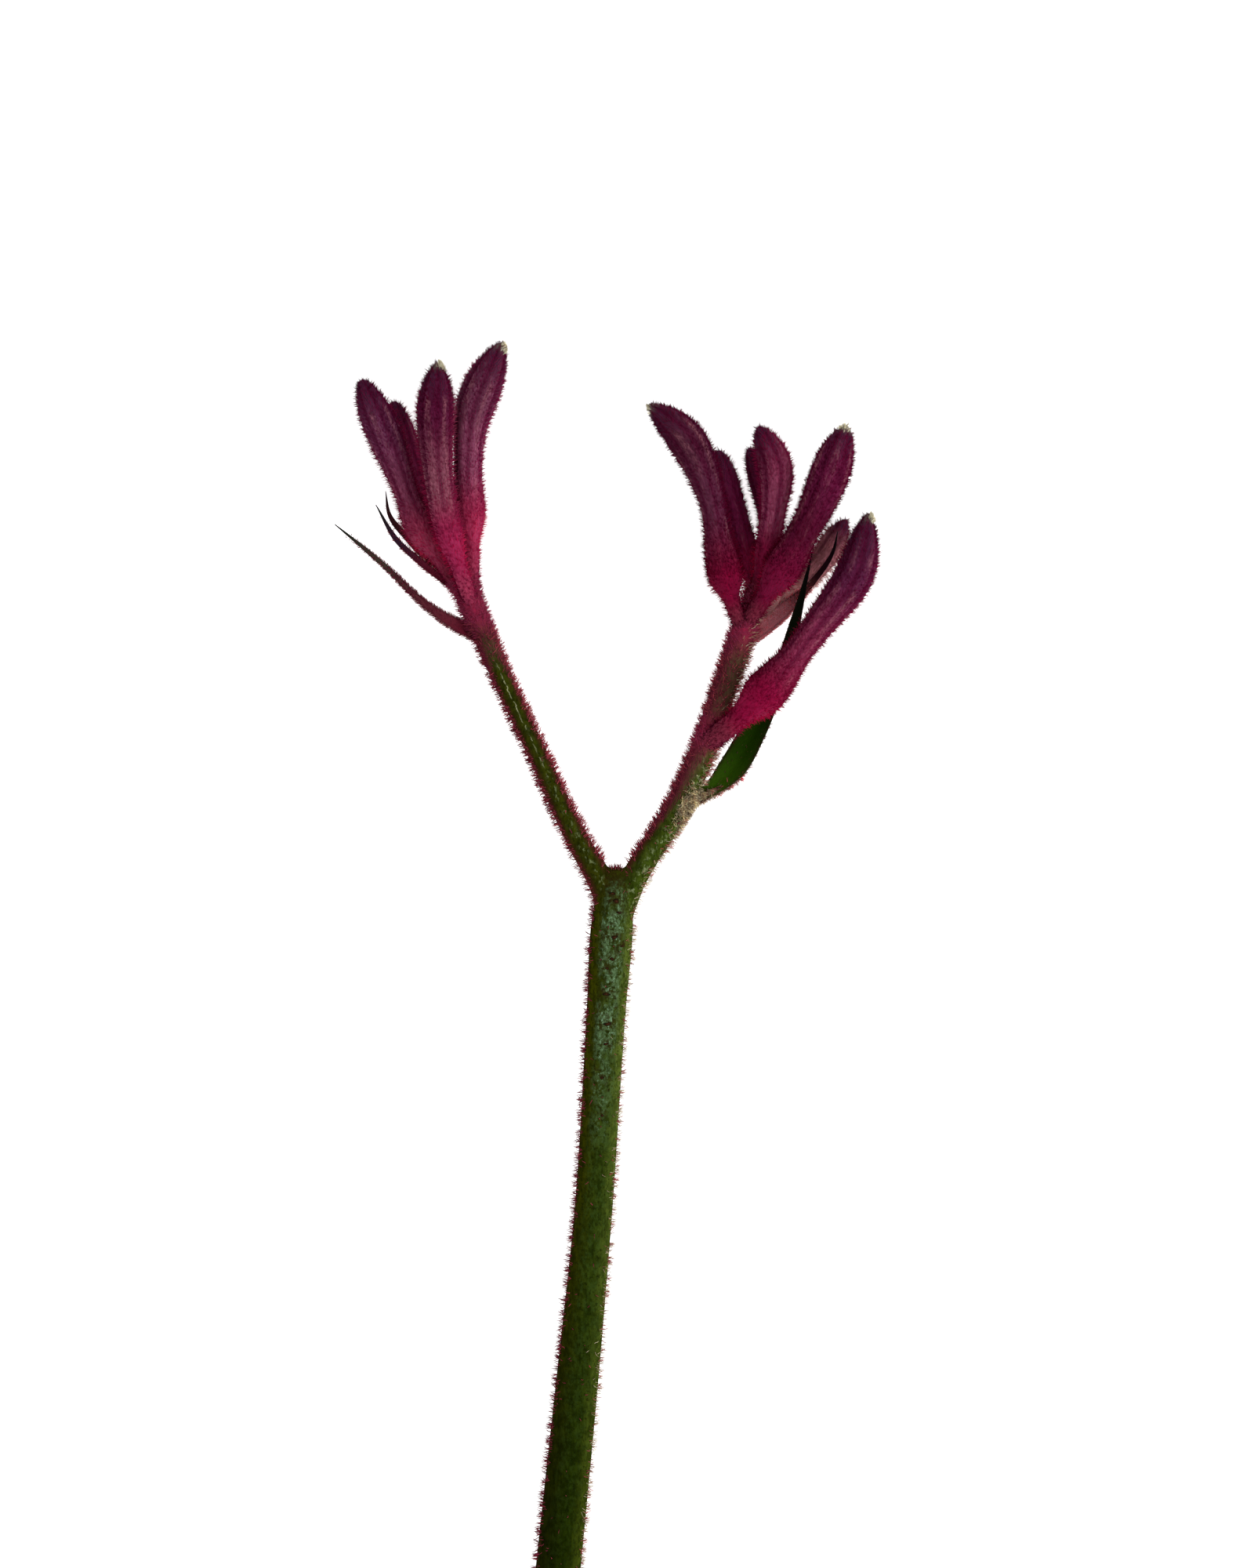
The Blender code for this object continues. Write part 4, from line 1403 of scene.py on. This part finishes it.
def buried(points, lines, own):
    """Which points lie inside another tube of the stem."""
    inside = np.zeros(len(points), bool)
    for i, line in enumerate(lines):
        if i != own:
            gaps = np.linalg.norm(points[:, None] - line.curve[None, :, :3], axis=2)
            inside |= (gaps < line.curve[None, :, 3] * BURIED_WITHIN).any(axis=1)
    return inside


def tufted(rng, line, per_mm2):
    """Shares and angles of hairs that stand in small tufts along a tube."""
    radius = line.curve[:, 3].mean()
    area = line.length * 2 * np.pi * radius
    count = int(area * per_mm2 / HAIRS_PER_TUFT)
    centres = scatter(count) + rng.normal(0, 0.004, (count, 2))
    tufts = rng.poisson(HAIRS_PER_TUFT, count)
    share = np.repeat(centres[:, 0], tufts) + rng.normal(0, TUFT_REACH / line.length, tufts.sum())
    angle = np.repeat(centres[:, 1], tufts) * 2 * np.pi + rng.normal(0, TUFT_REACH / radius, tufts.sum())
    return np.clip(share, 0.004, 0.985), angle


def in_wool(y, angle):
    """Which hairs of the right branch stand where its wool is."""
    return (np.abs(y - WOOL_AT) < WOOL_REACH) & (angle > -1.1) & (angle < 1.4)


def face_cover(own, y, angle):
    """The share of its hairs that each tube keeps in the middle of its upper face."""
    if own == LEFT:
        return np.clip((y - 57) / 4, 0.015, 0.9)
    if own == RIGHT:
        left_side = np.clip((y - 41) / 8, 0.08, 0.45)
        return np.where(np.cos(angle) < 0.3, left_side, 0.06 + 0.6 * joint_at(own, y))
    return 0.03


def cover(own, y, angle):
    """The share of hairs kept at each place: all of them at the sides, fewer on the upper face and below."""
    face = face_cover(own, y, angle)
    edge = past(np.abs(np.cos(angle)), STEM_HAIRS[own].edge, 0.25)
    return np.where(np.sin(angle) > 0, face + (1 - face) * edge, 0.6)


def stem_tint(rng, own, y, angle):
    """Where each hair's colour lies in STEM_TINTS: crimson on the left and paler on the right."""
    kind = STEM_HAIRS[own]
    right = np.clip(np.cos(angle) * 1.5, 0, 1)
    tint = kind.tint + kind.right_tint * right + rng.normal(0, 0.08, len(y))
    tint = np.where(rng.random(len(y)) < joint_at(own, y), tint * 0.4, tint)
    pale_share = kind.pale_share + (np.interp(y, (34, 42), (0.5, 0.0)) if own == RIGHT else 0)
    pale = rng.random(len(y)) < right * pale_share
    return np.where(pale, rng.uniform(0.62, 1.0, len(y)), tint)


def stem_hairs(lines, own):
    """The hairs of the stem or a branch, in tufts, thick at its sides."""
    rng = np.random.default_rng(STEM_SEEDS + own)
    kind = STEM_HAIRS[own]
    share, angle = tufted(rng, lines[own], kind.per_mm2)
    root, out, forward = tube_at(lines[own], share, angle)
    chance = cover(own, root[:, 1], angle)
    if own != STEM:
        chance *= np.interp(root[:, 1], (22, 36), (0.35, 0.9))
    keep = ~buried(root, lines, own) & (rng.random(len(root)) < chance)
    if own == RIGHT:
        keep &= ~in_wool(root[:, 1], (angle + np.pi) % (2 * np.pi) - np.pi)
    angle, root, out, forward = (values[keep] for values in (angle, root, out, forward))
    count = len(root)
    lean = rng.normal(kind.lean, 0.3, count)[:, None]
    direction = strayed(rng, out + forward * lean, STEM_STRAY)
    bend = rng.normal(0, STEM_CURL, (count, 3)) + forward * 0.15
    length = rng.uniform(*kind.lengths, count)
    tint = stem_tint(rng, own, root[:, 1], angle)
    joint = joint_at(own, root[:, 1])
    light = kind.light + 0.26 * joint + 0.03 * np.cos(angle) + rng.normal(0, 0.08, count)
    light -= 0.12 * np.clip(np.sin(angle) * 2 - 1, 0, 1) * (1 - joint)
    width = rng.uniform(*kind.widths, count) * np.where(tint > 0.6, 0.7, 1.0)
    facing = out * (0.2 + 0.8 * joint)[:, None]
    return hair_mesh(kind.name, root - out * ROOT_DEPTH, direction, length, width, tint, light, bend, facing)


def branch_felt(name, line, own):
    """Short crimson felt that lies along a branch where it nears its head, thin on the right side."""
    rng = np.random.default_rng(BRANCH_FELT_SEEDS + own)
    count = int(line.length * 2 * np.pi * line.curve[:, 3].mean() * BRANCH_FELT_PER_MM2)
    pairs = scatter(count) + rng.normal(0, 0.004, (count, 2))
    angle = pairs[:, 1] * 2 * np.pi
    root, out, forward = tube_at(line, np.clip(pairs[:, 0], 0.01, 0.99), angle)
    lateral = np.cos(angle)
    joint = joint_at(own, root[:, 1])
    chance = warmth(own, root[:, 1], lateral)
    if own == RIGHT:
        chance *= np.interp(lateral, (-0.2, 0.3), (1.0, 0.3))
    keep = rng.random(count) < np.maximum(chance, joint)
    joint, lateral, root, out, forward = (values[keep] for values in (joint, lateral, root, out, forward))
    count = len(root)
    lean = rng.uniform(*FELT.leans, count)[:, None]
    direction = strayed(rng, out + forward * lean, FELT.stray)
    length, width = sizes(rng, FELT, count)
    tint = 0.3 - 0.18 * joint + 0.06 * lateral + rng.normal(0, 0.05, count)
    light = 0.4 + 0.42 * joint + rng.normal(0, 0.06, count)
    return hair_mesh(name, root - out * 0.06, direction, length, width, tint, light, facing=out)


def wool_on_branch(rng, line):
    count = WOOL_ON_BRANCH
    y = rng.normal(WOOL_AT, 1.5, count)
    share = np.interp(y, line.curve[:, 1], line.along) / line.length
    angle = np.radians(rng.uniform(-60, 84, count))
    root, out, _ = tube_at(line, share, angle)
    return root, out, rng.uniform(0.74, 1.0, count)


def wool_on_bract(rng, line):
    count = WOOL_ON_BRACT
    share = rng.uniform(0.0, 0.24, count) * rng.uniform(0.4, 1.0, count)
    spots, side, up, _ = line.at(share)
    place = rng.uniform(-0.2, 1.0, count) * np.interp(share, (0.08, 0.14), (1.0, 0.3))
    place += np.interp(share, (0.08, 0.14), (0, 0.7))
    root = spots[:, :3] + side * (place * spots[:, 3])[:, None]
    root += up * np.interp(place, (0, 0.8), (0.3, -0.2))[:, None]
    out = unit(side + up * rng.uniform(-0.6, 1.0, count)[:, None])
    return root, out, 0.98 - share * 2.4 + rng.normal(0, 0.08, count)


def axil_wool(line):
    """Curled pale wool between the branch and the base of the green bract, crimson at its far end."""
    rng = np.random.default_rng(WOOL_SEED)
    parts = [wool_on_branch(rng, line), wool_on_bract(rng, Line(BRACTS["bract_right_1"].route))]
    root, out, tint = (np.concatenate(values) for values in zip(*parts, strict=True))
    count = len(root)
    direction = strayed(rng, out, WOOL.stray)
    bend = rng.normal(0, WOOL.curl, (count, 3))
    length, width = sizes(rng, WOOL, count)
    clump = np.sin(4.6 * root[:, 0] + 1.0) + np.sin(5.4 * root[:, 1]) + rng.normal(0, 0.5, count)
    light = np.clip(0.58 + 0.36 * clump + rng.normal(0, 0.16, count), 0, 1)
    return hair_mesh("axil_wool", root - out * ROOT_DEPTH, direction, length, width, tint, light, bend)


def fork_hairs(line):
    """Crimson hairs on the rounded end of the stem, in the fork of the branches."""
    rng = np.random.default_rng(FORK_SEED)
    count = FORK_HAIRS
    angle = rng.uniform(0, 2 * np.pi, count)
    rise = np.radians(rng.uniform(35, 90, count))
    spots, side, up, forward = line.at(np.ones(count))
    around = np.cos(angle)[:, None] * side + np.sin(angle)[:, None] * up
    out = around * np.cos(rise)[:, None] + forward * np.sin(rise)[:, None]
    root = spots[:, :3] + (out - forward) * spots[:, 3:4]
    root += side * rng.uniform(-1.0, 1.0, count)[:, None] * 0.5
    direction = strayed(rng, out, FORK.stray)
    length, width = sizes(rng, FORK, count)
    tint = rng.uniform(0.25, 0.5, count)
    light = rng.uniform(0.25, 0.5, count)
    deep = root - out * 0.3
    return hair_mesh("fork_hairs", deep, direction, length + 0.2, width, tint, light, facing=out * 0.3)


def build_stem_hairs():
    lines = stem_lines()
    meshes = [fork_hairs(lines[STEM])]
    meshes += [stem_hairs(lines, own) for own in (STEM, LEFT, RIGHT)]
    meshes.append(branch_felt("branch_left_felt", lines[LEFT], LEFT))
    meshes.append(branch_felt("branch_right_felt", lines[RIGHT], RIGHT))
    meshes.append(axil_wool(lines[RIGHT]))
    material = hair_material("stem_hair", STEM_TINTS, PLAIN_SHADES)
    for mesh in meshes:
        add_piece(mesh, material)
    build_scars(lines[STEM])


def blade_section(half_width):
    """The folded blade cut across, out along its back and home along its inside, and each place across."""
    across = np.linspace(-1, 1, BLADE_POINTS)
    sag = BLADE_FOLD * half_width * (1 - np.abs(across) ** FOLD_SHARPNESS)
    thin = BLADE_EDGE + (BLADE_THICK - BLADE_EDGE) * (1 - across**2)
    half = thin / 2 * min(1.0, 0.45 + half_width / 2)
    back = np.stack([across * half_width, -sag - half], axis=1)
    inside = np.stack([across * half_width, -sag + half], axis=1)[::-1]
    return np.vstack([back, inside]), np.concatenate([across, across[::-1]])


def blade_frame(bract, line, share):
    """The blade's places and half widths at these shares, its way across, out of its fold, and along."""
    spots, side, up, forward = line.at(share)
    roll = np.radians(bract.roll)
    wide = side * np.cos(roll) + up * np.sin(roll)
    deep = up * np.cos(roll) - side * np.sin(roll)
    return spots, wide, deep, forward


def blade_mesh(name, bract, line, seed):
    rng = np.random.default_rng(seed)
    share = np.linspace(0, 1, BLADE_RINGS)
    spots, wide, deep, _ = blade_frame(bract, line, share)
    rings = []
    reach = []
    for i, spot in enumerate(spots):
        taper = np.clip((1 - share[i]) / BLADE_TAPER, 0.03, 1) ** 0.6
        section, across = blade_section(spot[3] * taper)
        wave = BLADE_WAVE * np.sin(9 * share[i] + rng.uniform(-0.1, 0.1))
        rings.append(spot[:3] + np.outer(section[:, 0], wide[i]) + np.outer(section[:, 1] + wave, deep[i]))
        reach.append(across)
    grid = above_floor(np.array(rings))
    mesh = grid_mesh(name, grid, grid[0].mean(axis=0), grid[-1].mean(axis=0))
    across = np.array(reach)
    shares = np.broadcast_to(share[:, None], across.shape)
    add_floats(mesh, share=[*shares.ravel(), 0, 1], across=[*across.ravel(), 0, 0])
    add_vector(mesh, "flow", np.stack([across, across * 0, shares * line.length], -1))
    return mesh


def blade_hairs(name, bract, line, seed):
    """Short hairs on the back and the margins of a bract."""
    rng = np.random.default_rng(seed)
    count = bract.hairs
    share = rng.beta(1.0, 1.6, count) * bract.hairy_to + 0.03
    spots, wide, deep, forward = blade_frame(bract, line, share)
    half_width = spots[:, 3]
    margin = np.where(rng.random(count) < 0.6, 1.0, -1.0)
    place = np.where(rng.random(count) < 0.6, margin, rng.uniform(-0.8, 0.8, count))
    face = np.where(rng.random(count) < 0.5, 1.0, -1.0)
    root = spots[:, :3] + wide * (place * half_width * 0.95)[:, None]
    root += deep * (face * 0.1 - BLADE_FOLD * half_width * (1 - np.abs(place) ** FOLD_SHARPNESS))[:, None]
    out = unit(wide * place[:, None] + deep * (face * (1.1 - np.abs(place)))[:, None])
    direction = strayed(rng, out + forward * 0.9, FRINGE.stray)
    bend = forward * 0.5 + rng.normal(0, FRINGE.curl, (count, 3))
    length, width = sizes(rng, FRINGE, count)
    length *= np.clip(1.3 - share, 0.5, 1)
    hue = rng.uniform(0, 1, count) * np.where(np.abs(place) < 0.85, 0.45, 1.0)
    return hair_mesh(name, root, direction, length, width, hue, np.full(count, 0.5), bend)


def build_bracts():
    for seed, (name, bract) in enumerate(BRACTS.items(), start=BRACT_SEEDS):
        line = Line(bract.route)
        leaf = blade_material(name + "_leaf", bract.colours)
        add_piece(blade_mesh(name + "_blade", bract, line, seed), leaf, name)
        base = bract.colours[0.0]
        stops = {0.0: mixed(base, INK, 0.2), 0.5: mixed(base, TAN, 0.5), 1.0: mixed(TAN, STRAW, 0.6)}
        fringe = hair_material(name + "_fringe_colour", stops, PLAIN_SHADES)
        add_piece(blade_hairs(name + "_fringe", bract, line, seed), fringe)


def build_floor():
    half = FLOOR_SIZE / 2 * MM
    mesh = bpy.data.meshes.new("floor")
    corners = [(-half, -half, 0), (half, -half, 0), (half, half, 0), (-half, half, 0)]
    mesh.from_pydata(corners, [], [(0, 1, 2, 3)])
    made = Nodes("floor_paper")
    mottle = made.noise(made.position(), 3.0)
    colour = made.ramp(mottle, {0.0: (0.90, 0.90, 0.90), 1.0: (0.93, 0.93, 0.93)})
    glow = {"Emission_Color": (1, 1, 1, 1), "Emission_Strength": FLOOR_GLOW}
    floor = link(mesh, made.finish(colour, 0.9, Specular_IOR_Level=0.1, **glow))


def build_light():
    world = bpy.data.worlds.new("studio")
    world.use_nodes = True
    back = world.node_tree.nodes["Background"]
    back.inputs["Color"].default_value = (1, 1, 1, 1)
    back.inputs["Strength"].default_value = WORLD_LIGHT
    lamp = bpy.data.lights.new("key", "AREA")
    lamp.shape = "DISK"
    lamp.size = KEY_SIZE
    lamp.energy = KEY_POWER
    obj = bpy.data.objects.new("key", lamp)
    obj.location = KEY_SPOT
    x, y, z = np.array(KEY_AIM) - np.array(KEY_SPOT)
    obj.rotation_euler = (np.arctan2(np.hypot(x, y), -z), 0, np.arctan2(x, -y) + np.pi)
    scene = bpy.context.scene
    scene.collection.objects.link(obj)
    scene.world = world
    scene.view_settings.view_transform = "Standard"
    scene.view_settings.look = "None"
    scene.view_settings.exposure = 0.0


def build_camera():
    lens = bpy.data.cameras.new("camera")
    lens.sensor_fit = "VERTICAL"
    lens.sensor_height = SENSOR
    lens.lens = SENSOR * (CAMERA_SPOT[2] - SEEN_AT) / SEEN_HEIGHT
    lens.clip_end = SEEN_TO
    camera = bpy.data.objects.new("camera", lens)
    camera.location = tuple(value * MM for value in CAMERA_SPOT)
    bpy.context.scene.collection.objects.link(camera)
    bpy.context.scene.camera = camera


build_camera()
build_light()
build_floor()
build_stem()
build_stem_hairs()
build_buds()
build_bracts()
